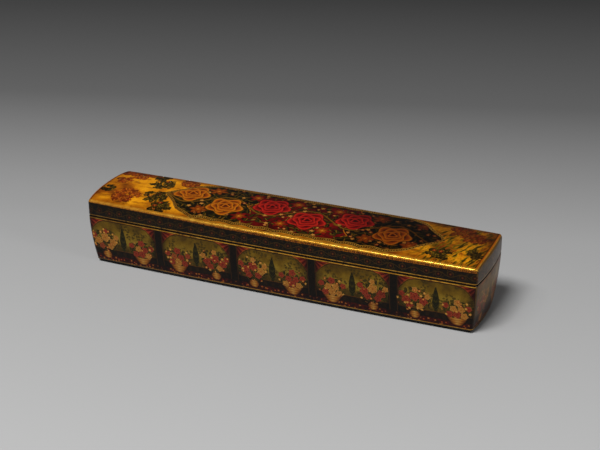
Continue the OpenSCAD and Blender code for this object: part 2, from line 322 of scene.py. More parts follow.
def slice_all(point, normal, **settings):
    """Cuts the whole mesh in edit mode by a plane through a point."""
    bpy.ops.mesh.select_all(action="SELECT")
    bpy.ops.mesh.bisect(plane_co=point, plane_no=normal, **settings)


def soften_edges(piece, width, segments, angle):
    """Bevels edges that turn by more than an angle in degrees; the width is in millimetres."""
    hold(piece)
    bevel = piece.modifiers.new("soft_edges", "BEVEL")
    bevel.width, bevel.segments = width * MM, segments
    bevel.limit_method, bevel.angle_limit = "ANGLE", math.radians(angle)
    bpy.ops.object.modifier_apply(modifier=bevel.name)


def finish_piece(piece, name, body, node, smooth):
    """Names a piece, smooths its shading, hangs it on its body and hides the node it stands for."""
    hold(piece)
    piece.name = piece.data.name = name
    settle()
    bpy.ops.object.shade_smooth_by_angle(angle=math.radians(smooth))
    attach(piece, body)
    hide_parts(node)
    let_go()
    print(name, "faces:", len(piece.data.polygons), "mm:", [round(d / MM, 1) for d in piece.dimensions])
    return piece


print("helpers ready")

# %% [markdown]
# The box is not a plain block. In plan its long sides and its ends swell by a little under two millimetres,
# and the corners are round. These few sizes are those of the solid model, and the functions below give the
# outline at any height, so that the lid and the base agree along the seam.

# %% Sizes of the box
low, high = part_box("base_shell")
HALF_L, HALF_W, FOOT, SEAM = high[0], high[1], low[2], high[2]
END_BOW, SIDE_BOW, CORNER = 1.6 * MM, 1.7 * MM, 2.5 * MM
TAPER_END, TAPER_SIDE, TAPER_POWER = 2.6 * MM, 4.4 * MM, 1.7
WALL, FLOOR_Z = 2.6 * MM, FOOT + 2.2 * MM
RIM, CROWN, CROWN_POWER, SHOULDER_POWER = 10.8 * MM, 2.7 * MM, 2.18, 2.04
LID_WALL, LID_TOP, REVEAL, REVEAL_IN = 2.25 * MM, 2.6 * MM, 0.7 * MM, 0.6 * MM
ARRIS = 2.4 * MM
STRAIGHT = 0.8


def side_reach(u, half_l, half_w):
    """A place along the box and the half width of the plan there, for u from -1 to 1.

    The side takes up u as far as STRAIGHT, and the round corner takes up the rest.
    """
    end_x = half_l - END_BOW - CORNER
    along = min(abs(u) / STRAIGHT, 1.0)
    turn = math.radians(90 * max(abs(u) - STRAIGHT, 0.0) / (1 - STRAIGHT))
    reach = half_w - SIDE_BOW * along**2 - CORNER * (1 - math.cos(turn))
    return math.copysign(end_x * along + CORNER * math.sin(turn), u), reach


def crown_point(u, v, inset, spring, rise, arris):
    """A point of a crowned sheet over the plan, for u and v from -1 to 1, rounded over at its ends."""
    end_x = HALF_L - inset - END_BOW
    x, reach = side_reach(u, HALF_L - inset, HALF_W - inset)
    past = max(arris - (end_x - abs(x)), 0.0)
    drop = arris - math.sqrt(arris**2 - past**2)
    share = math.sin(v * math.pi / 2)
    x += math.copysign(END_BOW * (1 - share**2) * min(abs(x) / end_x, 1.0), x)
    lift = max(1 - abs(share) ** CROWN_POWER, 0.0) ** (1 / SHOULDER_POWER)
    return Vector((x, reach * share, spring + rise * lift - drop))


print("half width at the ends:", round(side_reach(1.0, HALF_L, HALF_W)[1] / MM, 2), "mm")

# %% [markdown]
# The lid is a crowned sheet with an upright rim and softly rounded ends. A cube could be bevelled into it,
# but the crown is a flat ellipse with tight shoulders, and a bevel is always a circle. So a grid is laid
# out, its points are raised to the crown's own curve, closer together at the shoulders where the curve is
# tight, and its border is pulled down to make the rim. A second grid makes the underside, and the two
# borders are bridged. The last step of the rim stands back a little: that groove is the dark line at the
# seam, and the two edges of the ledge above it are bevelled by a hair.

# %% Lid
GRID_ALONG, GRID_ACROSS = 120, 48
UNDER_CROWN = 0.9 * CROWN
UNDER_SPRING = SEAM + RIM + CROWN - LID_TOP - UNDER_CROWN
LEDGE, LEDGE_SOFT = SEAM + REVEAL, 0.25 * MM
TINY = 1e-6


def crowned_grid(inset, spring, rise, foot_z, arris):
    """A crowned sheet with its border pulled straight down to a height."""
    let_go()
    bpy.ops.mesh.primitive_grid_add(x_subdivisions=GRID_ALONG, y_subdivisions=GRID_ACROSS, size=2)
    piece = bpy.context.object
    for vert in piece.data.vertices:
        vert.co = crown_point(vert.co.x, vert.co.y, inset, spring, rise, arris)
    edit(piece)
    pick(piece, "EDGE", lambda e: e.is_boundary)
    extrude_rim(piece, lambda co: Vector((co.x, co.y, foot_z)))
    return piece


def bounds_ledge(edge):
    """Whether an edge is one of the two that run round the ledge above the seam."""
    level = all(abs(vert.co.z - LEDGE) < TINY for vert in edge.verts)
    return level and len(edge.link_faces) == 2 and max(f.normal.z for f in edge.link_faces) > -0.1


under_lid = crowned_grid(LID_WALL, UNDER_SPRING, UNDER_CROWN, SEAM, 0.0)
bpy.ops.mesh.select_all(action="SELECT")
bpy.ops.mesh.flip_normals()
lid = crowned_grid(0.0, SEAM + RIM, CROWN, LEDGE, ARRIS)
in_x, in_y = 1 - REVEAL_IN / HALF_L, 1 - REVEAL_IN / HALF_W
extrude_rim(lid, lambda co: Vector((co.x * in_x, co.y * in_y, co.z)))
extrude_rim(lid, lambda co: Vector((co.x, co.y, SEAM)))
hold(lid)
under_lid.select_set(True)
bpy.ops.object.join()
edit(lid)
print("open edges to bridge:", pick(lid, "EDGE", lambda e: e.is_boundary))
bpy.ops.mesh.bridge_edge_loops()
print("ledge edges to bevel:", pick(lid, "EDGE", bounds_ledge))
bpy.ops.mesh.bevel(offset=LEDGE_SOFT, segments=2, profile=0.5)
lid = finish_piece(lid, "lid_lacquered_shell", "lid", "lid_shell", 40.0)

# %% [markdown]
# The base is drawn as a potter would draw a trough: one ring at the rim, pulled down and in, step by
# step, to the foot, and a second wall pulled down inside it. The wall leans in along a curve, slowly
# under the rim and faster towards the foot. A loft from curves would give the same shape, but a ring
# that is extruded keeps the faces in neat rows, which suits the painted bands.

# %% Base
RING_END, RING_CORNER, RING_SIDE = 8, 8, 22
WALL_ROWS, INNER_ROWS = 14, 9
SEAM_EASE, FOOT_EASE, FLOOR_EASE = 0.5 * MM, 0.6 * MM, 2.0 * MM
# Softened edges as steps of (height, inset) in millimetres
SEAM_STEPS = ((-0.15, 0.15), (-0.5, 0.0))
FOOT_STEPS = ((0.25, 0.18), (0.0, 0.6))
FLOOR_STEPS = ((0.6, 0.6), (0.0, 2.0))


def rim_ring():
    """The plan outline at the seam, as points in order."""
    end_x, end_y = HALF_L - END_BOW - CORNER, HALF_W - SIDE_BOW - CORNER
    turns = [math.radians(90 * i / RING_CORNER) for i in range(RING_CORNER + 1)]
    quarter = [(HALF_L - END_BOW * (i / RING_END) ** 2, end_y * i / RING_END) for i in range(RING_END)]
    quarter += [(end_x + CORNER * math.cos(turn), end_y + CORNER * math.sin(turn)) for turn in turns]
    for i in range(RING_SIDE - 1, -1, -1):
        quarter.append((end_x * i / RING_SIDE, HALF_W - SIDE_BOW * (i / RING_SIDE) ** 2))
    half = quarter + [(-x, y) for x, y in quarter[-2::-1]]
    return half + [(x, -y) for x, y in half[-2:0:-1]]


def lean(z):
    """How far the wall has leaned in at a height, from 0 at the seam to 1 at the foot."""
    return (max(SEAM - z, 0.0) / (SEAM - FOOT)) ** TAPER_POWER


def stepped_in(piece, before, after, z):
    """Extrudes the picked ring from one inset to another, given for the ends and the sides."""
    kx = (HALF_L - after[0]) / (HALF_L - before[0])
    ky = (HALF_W - after[1]) / (HALF_W - before[1])
    extrude_rim(piece, lambda co: Vector((co.x * kx, co.y * ky, z)))
    return after


def eased(piece, inset, steps, tapers, level):
    """Takes the picked ring round a softened edge at a level, past the insets of the ends and sides."""
    for rise, extra in steps:
        after = tuple(taper + extra * MM for taper in tapers)
        inset = stepped_in(piece, inset, after, level + rise * MM)
    return inset


ring = rim_ring()
let_go()
bpy.ops.mesh.primitive_circle_add(vertices=len(ring), radius=HALF_L, fill_type="NOTHING")
base = bpy.context.object
for vert, (x, y) in zip(base.data.vertices, ring):
    vert.co = Vector((x * (1 - SEAM_EASE / HALF_L), y * (1 - SEAM_EASE / HALF_W), SEAM))
edit(base)
pick(base, "EDGE", lambda e: True)
inset = eased(base, (SEAM_EASE, SEAM_EASE), SEAM_STEPS, (0.0, 0.0), SEAM)
for level in range(1, WALL_ROWS + 1):
    z = SEAM - SEAM_EASE - (SEAM - FOOT - SEAM_EASE - FOOT_EASE) * level / WALL_ROWS
    inset = stepped_in(base, inset, (TAPER_END * lean(z), TAPER_SIDE * lean(z)), z)
eased(base, inset, FOOT_STEPS, (TAPER_END, TAPER_SIDE), FOOT)
bpy.ops.mesh.edge_face_add()
pick(base, "EDGE", lambda e: e.is_boundary)
inset = stepped_in(base, (SEAM_EASE, SEAM_EASE), (WALL, WALL), SEAM)
for level in range(1, INNER_ROWS + 1):
    z = SEAM - (SEAM - FLOOR_Z - FLOOR_EASE) * level / INNER_ROWS
    inset = stepped_in(base, inset, (WALL + TAPER_END * lean(z), WALL + TAPER_SIDE * lean(z)), z)
eased(base, inset, FLOOR_STEPS, (WALL + TAPER_END, WALL + TAPER_SIDE), FLOOR_Z)
bpy.ops.mesh.edge_face_add()
bpy.ops.mesh.select_all(action="SELECT")
bpy.ops.mesh.normals_make_consistent(inside=False)
base = finish_piece(base, "base_lacquered_shell", "base", "base_shell", 40.0)

# %% [markdown]
# Now the inside. The inkwell is brass, turned on a lathe: a squat pot with three raised bands, a top plate
# with a neck, and a cover with a knob. A lathe's work in Blender is Spin: the outline of half a section
# is drawn as a closed ring of points and turned once round. Bevelled corners then catch the light
# as a turner's softened edges do. The same helper later makes the knife's ferrule and the spoon.

# %% Turned pieces
WELD = 1e-7
BAND_STEP, GROOVE = 0.3, 0.45


def place_of(node):
    """Lowest corner, middle and size of a node's box, in metres."""
    low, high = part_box(node)
    return low, [(a + b) / 2 for a, b in zip(low, high)], [b - a for a, b in zip(low, high)]


def turned(outline, middle, along="Z", soften=0.12, steps=72):
    """Spins an outline of (radius, height) points, in millimetres, about a line through middle."""
    let_go()
    bpy.ops.mesh.primitive_circle_add(vertices=len(outline), radius=MM, fill_type="NOTHING")
    piece = bpy.context.object
    for vert, (radius, height) in zip(piece.data.vertices, outline):
        vert.co = Vector((radius * MM, 0.0, height * MM))
    edit(piece)
    bpy.ops.mesh.select_all(action="SELECT")
    bpy.ops.mesh.spin(steps=steps, angle=2 * math.pi, center=(0, 0, 0), axis=(0, 0, 1))
    bpy.ops.mesh.select_all(action="SELECT")
    bpy.ops.mesh.remove_doubles(threshold=WELD)
    bpy.ops.mesh.delete_loose()
    bpy.ops.mesh.select_all(action="SELECT")
    bpy.ops.mesh.normals_make_consistent(inside=False)
    let_go()
    if soften:
        soften_edges(piece, soften, 2, 30.0)
    if along == "X":
        piece.rotation_euler = (0.0, math.radians(90), 0.0)
    piece.location = middle
    return piece


def banded(radius, bands):
    """Points of an outside wall that stands at a radius on each band and sinks by a groove between them."""
    points = []
    for start, end in bands:
        points += [(radius - GROOVE, start - BAND_STEP), (radius, start)]
        points += [(radius, end), (radius - GROOVE, end + BAND_STEP)]
    return points


pot_low, pot_mid, pot_size = place_of("inkwell_pot")
POT_X, POT_R, POT_H, POT_T = pot_mid[0], pot_size[0] / 2 / MM, pot_size[2] / MM, 1.3
POT_BANDS = [(1.0, 2.4), (5.3, 6.6), (POT_H - 1.8, POT_H - 0.3)]
pot_outline = [(0.0, 0.0), (POT_R - 1.0, 0.0)] + banded(POT_R, POT_BANDS)[1:]
pot_outline += [
    (POT_R - GROOVE, POT_H), (POT_R - POT_T, POT_H), (POT_R - POT_T, POT_T + 1.0),
    (POT_R - POT_T - 1.0, POT_T), (0.0, POT_T),
]
pot = turned(pot_outline, (POT_X, 0.0, pot_low[2]))
pot = finish_piece(pot, "inkwell_turned_pot", "base", "inkwell_pot", 30.0)

top_low, _, top_size = place_of("inkwell_top")
MOUTH_R, NECK_R, TOP_T, NECK_TOP = 6.0, 8.0, 1.4, top_size[2] / MM
top_outline = [
    (MOUTH_R, 0.0), (POT_R, 0.0), (POT_R, TOP_T - 0.5), (POT_R - 0.5, TOP_T), (POT_R - 1.6, TOP_T),
    (POT_R - 1.8, TOP_T - 0.25), (POT_R - 2.8, TOP_T - 0.25), (POT_R - 3.0, TOP_T), (NECK_R, TOP_T),
    (NECK_R - 0.4, TOP_T + 0.5), (NECK_R - 0.4, NECK_TOP - 0.7), (NECK_R, NECK_TOP - 0.4),
    (NECK_R, NECK_TOP), (MOUTH_R + 0.5, NECK_TOP), (MOUTH_R, NECK_TOP - 0.5),
]
pot_top = turned(top_outline, (POT_X, 0.0, top_low[2]))
pot_top = finish_piece(pot_top, "inkwell_turned_top", "base", "inkwell_top", 30.0)

knob_low, _, knob_size = place_of("cover_knob")
KNOB_R, KNOB_H, KNOB_NECK = knob_size[0] / 2 / MM, knob_size[2] / MM, 1.05
ball_turns = [math.radians(18 * i) for i in range(8, 0, -1)]
knob_outline = [
    (0.0, 0.0), (KNOB_R, 0.0), (KNOB_R, 0.35), (KNOB_R - 0.3, 0.6), (KNOB_NECK, 0.75), (KNOB_NECK, 1.0),
]
knob_outline += [(math.sin(a) * KNOB_R, KNOB_H - KNOB_R + math.cos(a) * KNOB_R) for a in ball_turns]
knob = turned(knob_outline + [(0.0, KNOB_H)], (POT_X, 0.0, knob_low[2]), soften=0.0)
knob = finish_piece(knob, "cover_turned_knob", "inkwell_cover", "cover_knob", 40.0)

# %% [markdown]
# Sawn and planed pieces, such as the collar strips, the cross board and the little brass hinge, already
# have the right form in the solid model, but its edges are razor sharp. A copy of the mesh is merged and
# cleaned, its sharp edges are bevelled by a hair, and the copy stands in for the node. That keeps every
# size and bore, and gives the light an edge to catch.


# %% Planed and filed pieces
def softened(node, name, body, width):
    """A copy of a node's mesh with its sharp edges bevelled, in the node's place."""
    let_go()
    piece = bpy.data.objects.new(name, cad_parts[node].data.copy())
    bpy.context.scene.collection.objects.link(piece)
    edit(piece)
    bpy.ops.mesh.select_all(action="SELECT")
    bpy.ops.mesh.remove_doubles(threshold=TINY)
    bpy.ops.mesh.dissolve_limited(angle_limit=math.radians(0.5))
    let_go()
    soften_edges(piece, width, 2, 40.0)
    return finish_piece(piece, name, body, node, 30.0)


COLLAR_SIDES = ("front", "back", "left", "right")
collars = [softened("collar_" + s, "collar_strip_" + s, "base", 0.35) for s in COLLAR_SIDES]
partition = softened("ink_partition", "cross_board", "base", 0.4)
foot_board = softened("base_board", "foot_board", "base", 0.2)
cover = softened("inkwell_cover", "inkwell_hinged_cover", "inkwell_cover", 0.2)
lugs = softened("inkwell_lugs", "inkwell_hinge_lugs", "base", 0.15)
pin = softened("inkwell_pin", "inkwell_hinge_pin", "base", 0.15)

# %% [markdown]
# A reed pen is a length of marsh reed with a joint or two, cut slantwise at one end and whittled to a nib
# with a slit. Each pen is modelled from a cylinder: its rings are drawn in a little towards the tail and
# swollen at the joints, a slanted bisect makes the cut, and the points past the cut are narrowed to the
# nib. The hollow of the reed shows in the cut, so the cut face is inset and pushed down. One function
# makes all three, with nibs from broad to fine.

# %% Reed pens
_, _, pen_size = place_of("reed_pen_broad")
PEN_L, PEN_R = pen_size[0] / MM, pen_size[2] / 2 / MM
PEN_JOINTS, NIB_L, NIB_T, REED_WALL = (0.31, 0.66), 24.0, 1.2, 0.75
TAIL_SHARE, TAIL_ROUND, JOINT_SWELL = 0.93, 0.12, 0.05
HOLLOW_START, HOLLOW_END, HOLLOW_DEPTH = 2.0, 0.75 * NIB_L, 0.9
CUT_X, NIB_WHITTLED = PEN_L - NIB_L, 0.7 * NIB_L
JOINT_CUTS = (-7.0, -4.5, -3.0, -1.5, 0.0, 1.5, 3.0, 4.5, 7.0)
REED_CUTS = [joint * PEN_L + gap for joint in PEN_JOINTS for gap in JOINT_CUTS]
REED_CUTS += [0.6, 30.0, 100.0, CUT_X - 2.0] + [PEN_L - NIB_L * k / 12 for k in range(12, 0, -1)]


def reed_radius(x):
    """Radius of the reed, as a share, at a place from its tail in millimetres."""
    share = TAIL_SHARE + (1.0 - TAIL_SHARE) * min(x / (0.6 * PEN_L), 1.0)
    for joint in PEN_JOINTS:
        gap = abs(x - joint * PEN_L)
        share += JOINT_SWELL * (math.exp(-((gap / 1.6) ** 2)) - math.exp(-(((gap - 3.5) / 2.2) ** 2)))
    return min(share, 1.0)


def reed_pen(node, name, nib_half):
    """A reed with its joints, slanted cut and nib; nib_half is half the nib's width in millimetres."""
    low, middle, _ = place_of(node)
    tail_x, pen_y, pen_z = low[0], middle[1], low[2] + PEN_R * MM

    def drawn_in(co):
        x = (co.x - tail_x) / MM
        share = reed_radius(x) - (TAIL_ROUND if x < 0.1 else 0.0)
        return Vector((co.x, pen_y + (co.y - pen_y) * share, pen_z + (co.z - pen_z) * share))

    let_go()
    bpy.ops.mesh.primitive_cylinder_add(vertices=40, radius=PEN_R * MM, depth=PEN_L * MM)
    pen = bpy.context.object
    pen.rotation_euler = (0.0, math.radians(90), 0.0)
    pen.location = (tail_x + PEN_L / 2 * MM, pen_y, pen_z)
    settle()
    edit(pen)
    for cut in REED_CUTS:
        slice_all((tail_x + cut * MM, pen_y, pen_z), (1, 0, 0))
    bpy.ops.mesh.select_all(action="SELECT")
    move_picked(pen, drawn_in)
    slope = Vector((2 * PEN_R - NIB_T, 0.0, NIB_L)).normalized()
    slice_all((tail_x + CUT_X * MM, pen_y, pen_z + PEN_R * MM), slope, use_fill=True, clear_outer=True)
    bpy.ops.mesh.inset(thickness=REED_WALL * MM)
    bpy.ops.mesh.remove_doubles(threshold=TINY)
    mesh = bmesh.from_edit_mesh(pen.data)
    for vert in mesh.verts:
        past = (vert.co.x - tail_x) / MM - CUT_X
        if past > 0.0:
            half = PEN_R + (nib_half - PEN_R) * min(past / NIB_WHITTLED, 1.0)
            vert.co.y = pen_y + (vert.co.y - pen_y) * half / PEN_R
        if vert.select and HOLLOW_START < past < HOLLOW_END:
            vert.co.z -= HOLLOW_DEPTH * MM * min((past - HOLLOW_START) / 4.0, 1.0)
    bmesh.update_edit_mesh(pen.data)
    return finish_piece(pen, name, "base", node, 40.0)


pens = [
    reed_pen("reed_pen_broad", "pen_broad_nib", 2.2),
    reed_pen("reed_pen_medium", "pen_medium_nib", 1.5),
    reed_pen("reed_pen_fine", "pen_fine_nib", 0.8),
]

# %% [markdown]
# The penknife trims the reeds. Its bone handle is eight-sided, a little slimmer at both ends, with softened
# corners; a brass ferrule holds a straight steel blade, which is ground thin along one edge. Each starts as
# the nearest primitive, or as an outline for the lathe, and is cut, moved and bevelled.

# %% Knife
handle_low, handle_mid, handle_size = place_of("knife_handle")
HANDLE_L, HANDLE_R, SIDES = handle_size[0], handle_size[2] / 2, 8
HANDLE_CUTS = (0.03, 0.12, 0.3, 0.5, 0.7, 0.88, 0.94)
END_SLIM, BUTT_ROUND = 0.16, 0.1
knife_y, knife_z = handle_mid[1:]
corner_r = HANDLE_R / math.cos(math.pi / SIDES)
let_go()
bpy.ops.mesh.primitive_cylinder_add(vertices=SIDES, radius=corner_r, depth=HANDLE_L)
handle = bpy.context.object
handle.rotation_mode = "ZYX"
handle.rotation_euler = (0.0, math.radians(90), math.radians(180 / SIDES))
handle.location = handle_mid
settle()
edit(handle)
for share in HANDLE_CUTS:
    slice_all((handle_low[0] + HANDLE_L * share, 0, 0), (1, 0, 0))
bpy.ops.mesh.select_all(action="SELECT")


def handle_swell(co):
    share = (co.x - handle_low[0]) / HANDLE_L
    size = 1.0 - END_SLIM * (2 * share - 1) ** 4 - (BUTT_ROUND if share < 0.01 else 0.0)
    return Vector((co.x, knife_y + (co.y - knife_y) * size, knife_z + (co.z - knife_z) * size))


move_picked(handle, handle_swell)
soften_edges(handle, 0.35, 3, 25.0)
handle = finish_piece(handle, "knife_bone_handle", "base", "knife_handle", 30.0)

ferrule_low, _, ferrule_size = place_of("knife_ferrule")
FERRULE_L, FERRULE_R, FERRULE_STEP = ferrule_size[0] / MM, ferrule_size[2] / 2 / MM, 0.35
# Places along the ferrule, each with its depth in steps
FERRULE_TURNS = [
    (0.0, 0.0), (0.9, 0.0), (1.1, 1.0), (1.9, 1.0), (2.1, 0.0), (2.9, 0.0), (3.2, 1.5),
    (FERRULE_L - 0.4, 3.5), (FERRULE_L, 4.5),
]
ferrule_outline = [(FERRULE_R - FERRULE_STEP * depth, along) for along, depth in FERRULE_TURNS]
ferrule_outline = [(0.0, 0.0)] + ferrule_outline + [(0.0, FERRULE_L)]
ferrule = turned(ferrule_outline, (ferrule_low[0], knife_y, knife_z), along="X")
ferrule = finish_piece(ferrule, "knife_turned_ferrule", "base", "knife_ferrule", 30.0)

blade_low, blade_mid, blade_size = place_of("knife_blade")
BLADE_L, BLADE_W, _ = blade_size
POINT_L, POINT_DROP, FORTE_L = 13 * MM, 0.96, 6 * MM
EDGE_T, GROUND_W = 0.12, 0.62
let_go()
bpy.ops.mesh.primitive_cube_add(size=1.0, location=blade_mid)
blade = bpy.context.object
blade.scale = blade_size
settle()
edit(blade)
for share in (0.3, GROUND_W):
    slice_all((0, blade_low[1] + BLADE_W * share, 0), (0, 1, 0))
for x in (FORTE_L, FORTE_L + 2 * MM, BLADE_L - POINT_L, BLADE_L - POINT_L / 2):
    slice_all((blade_low[0] + x, 0, 0), (1, 0, 0))
bpy.ops.mesh.select_all(action="SELECT")


def blade_grind(co):
    """Thins the blade towards its edge, past the thick part at the ferrule, and slopes its back."""
    x, up = co.x - blade_low[0], (co.y - blade_low[1]) / BLADE_W
    ground = 0.0 if x < FORTE_L + MM else 1.0
    thick = 1.0 - ground * (1.0 - EDGE_T) * max(1.0 - up / GROUND_W, 0.0)
    reach = 1.0 - min(max(x - (BLADE_L - POINT_L), 0.0) / POINT_L, 1.0) * POINT_DROP
    y, z = blade_low[1] + (co.y - blade_low[1]) * reach, blade_mid[2] + (co.z - blade_mid[2]) * thick
    return Vector((co.x, y, z))


move_picked(blade, blade_grind)
blade = finish_piece(blade, "knife_steel_blade", "base", "knife_blade", 20.0)

# %% [markdown]
# The nib plate is a slip of bone with round ends and a raised step, on which the nib is laid and clipped. It
# could be a stretched box with bevelled corners, but a disc already has the round ends: it is cut twice near
# its middle, the two halves are drawn apart, and the flat between them is inset and raised.

# %% Nib plate
plate_low, plate_mid, plate_size = place_of("nib_plate")
PLATE_L, PLATE_HALF, PLATE_Z = plate_size[0], plate_size[1] / 2, 2.6 * MM
STEP_L, STEP_IN, STEP_H = 15 * MM, 0.8 * MM, plate_size[2] - PLATE_Z
SQUEEZE = 0.2
plate_x, plate_y, _ = plate_mid
let_go()
bpy.ops.mesh.primitive_cylinder_add(
    vertices=48, radius=PLATE_HALF, depth=PLATE_Z, location=(plate_x, plate_y, plate_low[2] + PLATE_Z / 2)
)
plate = bpy.context.object
settle()
edit(plate)
for x in (-STEP_L / 2, STEP_L / 2):
    slice_all((plate_x + x * SQUEEZE, 0, 0), (1, 0, 0))
bpy.ops.mesh.select_all(action="SELECT")


def plate_stretch(co):
    """Draws the halves of the disc apart, and the part between the cuts out to the length of the step."""
    x = co.x - plate_x
    between = abs(x) <= STEP_L / 2 * SQUEEZE + TINY
    moved = x / SQUEEZE if between else math.copysign(PLATE_L / 2 - PLATE_HALF + abs(x), x)
    return Vector((plate_x + moved, co.y, co.z))


def under_step(face):
    return face.normal.z > 0.9 and abs(face.calc_center_median().x - plate_x) < SQUEEZE * STEP_L


move_picked(plate, plate_stretch)
print("step faces:", pick(plate, "FACE", under_step))
bpy.ops.mesh.inset(thickness=STEP_IN, use_boundary=True)
bpy.ops.mesh.extrude_region_move(TRANSFORM_OT_translate={"value": (0, 0, STEP_H)})
soften_edges(plate, 0.3, 3, 40.0)
plate = finish_piece(plate, "nib_cutting_plate", "base", "nib_plate", 30.0)

# %% [markdown]
# The water spoon feeds a few drops to the ink. Its bowl is a small raised cup with a rolled lip, turned like
# the pot; its stem is a thin rod that slopes down to the floor, thicker at the bowl and ending in a bead.

# %% Spoon
bowl_low, bowl_mid, bowl_size = place_of("spoon_bowl")
BOWL_R, BOWL_H, BOWL_T = bowl_size[0] / 2 / MM, bowl_size[2] / MM, 0.8
CUP_ROUND, CUP_RISE, LIP, HAIR = 2.6, 2.0, 0.25, 0.001
bowl_seat = (bowl_mid[0], bowl_mid[1], bowl_low[2])
arc = [math.radians(15 * i) for i in range(7)]
cup = [(BOWL_R - CUP_ROUND + CUP_ROUND * math.sin(a), CUP_RISE - CUP_RISE * math.cos(a)) for a in arc]
cup_in = [(r - BOWL_T * math.sin(a) - HAIR, z + BOWL_T * math.cos(a)) for a, (r, z) in zip(arc, cup)]
lip = [(BOWL_R - LIP, CUP_RISE), (BOWL_R - LIP, BOWL_H - 0.9), (BOWL_R, BOWL_H - 0.5)]
lip += [(BOWL_R, BOWL_H), (BOWL_R - BOWL_T, BOWL_H)]
bowl_outline = [(0.0, 0.0)] + cup[:-1] + lip + cup_in[::-1] + [(0.0, BOWL_T)]
bowl = turned(bowl_outline, bowl_seat, soften=0.08)
bowl = finish_piece(bowl, "spoon_turned_bowl", "base", "spoon_bowl", 35.0)

stem_low, _, stem_size = place_of("spoon_stem")
STEM_R = stem_size[1] / 2 / MM
stem_rise = stem_size[2] - 2 * STEM_R * MM
STEM_L = math.hypot(stem_size[0], stem_rise) / MM
stem_drop = math.asin(stem_rise / (STEM_L * MM))
bead_turns = [math.radians(30 * i) for i in range(1, 6)]
stem_outline = [(0.0, 0.0)] + [(math.sin(a) * STEM_R, STEM_R - math.cos(a) * STEM_R) for a in bead_turns]
stem_outline += [(0.45 * STEM_R, 2.3), (0.6 * STEM_R, STEM_L * 0.5), (0.9 * STEM_R, STEM_L - 4.0)]
stem_outline += [(STEM_R, STEM_L - 2.5), (STEM_R, STEM_L), (0.0, STEM_L)]
stem = turned(stem_outline, (0.0, 0.0, 0.0), soften=0.0, steps=24)
stem.rotation_euler = (0.0, math.radians(90) - stem_drop, 0.0)
stem.location = (stem_low[0] + 0.05 * MM, bowl_mid[1], stem_low[2] + STEM_R * MM)
stem = finish_piece(stem, "spoon_turned_stem", "base", "spoon_stem", 40.0)

# %% [markdown]
# The painting is made of a few motifs that a lacquer painter repeats from memory: roses, lilies, small
# blossoms, leaves and scrolls. An image would be the quick way, but it blurs close up and is tied to one
# size. Here each motif is a sum on the place of a point, in millimetres, and a slow noise nudges
# the places about so that the edges look drawn by hand.

# %% Painter's motifs
FULL_TURN = 2 * math.pi
# Rings of a rose from the outside in: petals, reach, ripple, turn, and where the shadow ends
ROSE_RINGS = (
    (5, 0.86, 0.11, 0.5, 0.62),
    (5, 0.64, 0.08, 2.5, 0.55),
    (4, 0.43, 0.06, 1.1, 0.5),
    (3, 0.22, 0.04, 0.3, 0.4),
)


def place_on_box(ink):
    """The place of a point in millimetres, whole and as X, Y and Z."""
    place = ink.put("TexCoord", None, None, "Object").scaled(1.0 / MM)
    return place, *place.parts()


def wobble(place, amount, scale=0.13):
    """A place nudged by up to half an amount, in millimetres, as by a painter's hand."""
    drift = place.noise(scale, 2.0, 1).shifted((-0.5, -0.5, -0.5))
    return drift.shifted(place, amount)


def polar(spot):
    """Distance and angle of a place from the middle of its motif."""
    u, v, _ = spot.parts()
    return spot.length(), v.sum("ARCTAN2", u)


def wave(place, period):
    """A sine wave along a line, with a period in millimetres."""
    return (place * (FULL_TURN / period)).sum("SINE")


def petals(ground, radius, angle, count, reach, ripple, turn, cool, warm=None, blend=None, where=1.0):
    """One ring of petals over a ground, shaded by a ramp from its middle to its edge."""
    edge = (angle * count + turn).sum("COSINE") * ripple + reach
    share = radius / edge
    paint = share.ramp(*cool)
    if warm:
        paint = paint.over(share.ramp(*warm), blend)
    return ground.over(paint, share.ease(1.04, 0.97) * where)


def rose(ground, spot, cool, warm, blend, where=1.0):
    """A full rose in four rings; cool and warm are (shadow, body, light, line) tones."""
    radius, angle = polar(spot)
    for count, reach, ripple, turn, deep in ROSE_RINGS:
        stops = (deep, deep + 0.2, 0.92, 1.0)
        ramps = [tuple(zip(stops, tones)) for tones in (cool, warm)]
        ground = petals(ground, radius, angle, count, reach, ripple, turn, *ramps, blend, where)
    return ground


def nearest(place, spots):
    """The nearest of some spots, each (x, y, reach): the place on it, from -1 to 1, and its number."""
    best = gap = mark = None
    for number, (x, y, reach) in enumerate(spots):
        own = place.shifted((-x / reach, -y / reach, 0.0), 1 / reach)
        own_gap = own.length()
        if best is None:
            best, gap, mark = own, own_gap, own_gap * 0.0
        else:
            closer = own_gap.sum("LESS_THAN", gap)
            best = best.put("Mix", {"data_type": "VECTOR"}, {0: closer, 4: best, 5: own}, 1)
            mark = mark + closer * (number - mark)
            gap = gap.sum("MINIMUM", own_gap)
    return best, mark


def scatter(place, pitch, loose=0.85):
    """Scattered spots: a place's offset from its own spot in millimetres, three chances, and the spot."""
    cell = place.scaled(1 / pitch)
    values = {"Vector": cell, "Scale": 1.0, "Randomness": loose}
    spot = cell.put("TexVoronoi", {"voronoi_dimensions": "2D"}, values, "Position")
    chance = Tint(cell.tree, spot.socket.node.outputs["Color"])
    offset = cell.put("VectorMath", {"operation": "SUBTRACT"}, {0: cell, 1: spot})
    return offset.scaled(pitch), chance.parts(), spot.scaled(pitch)


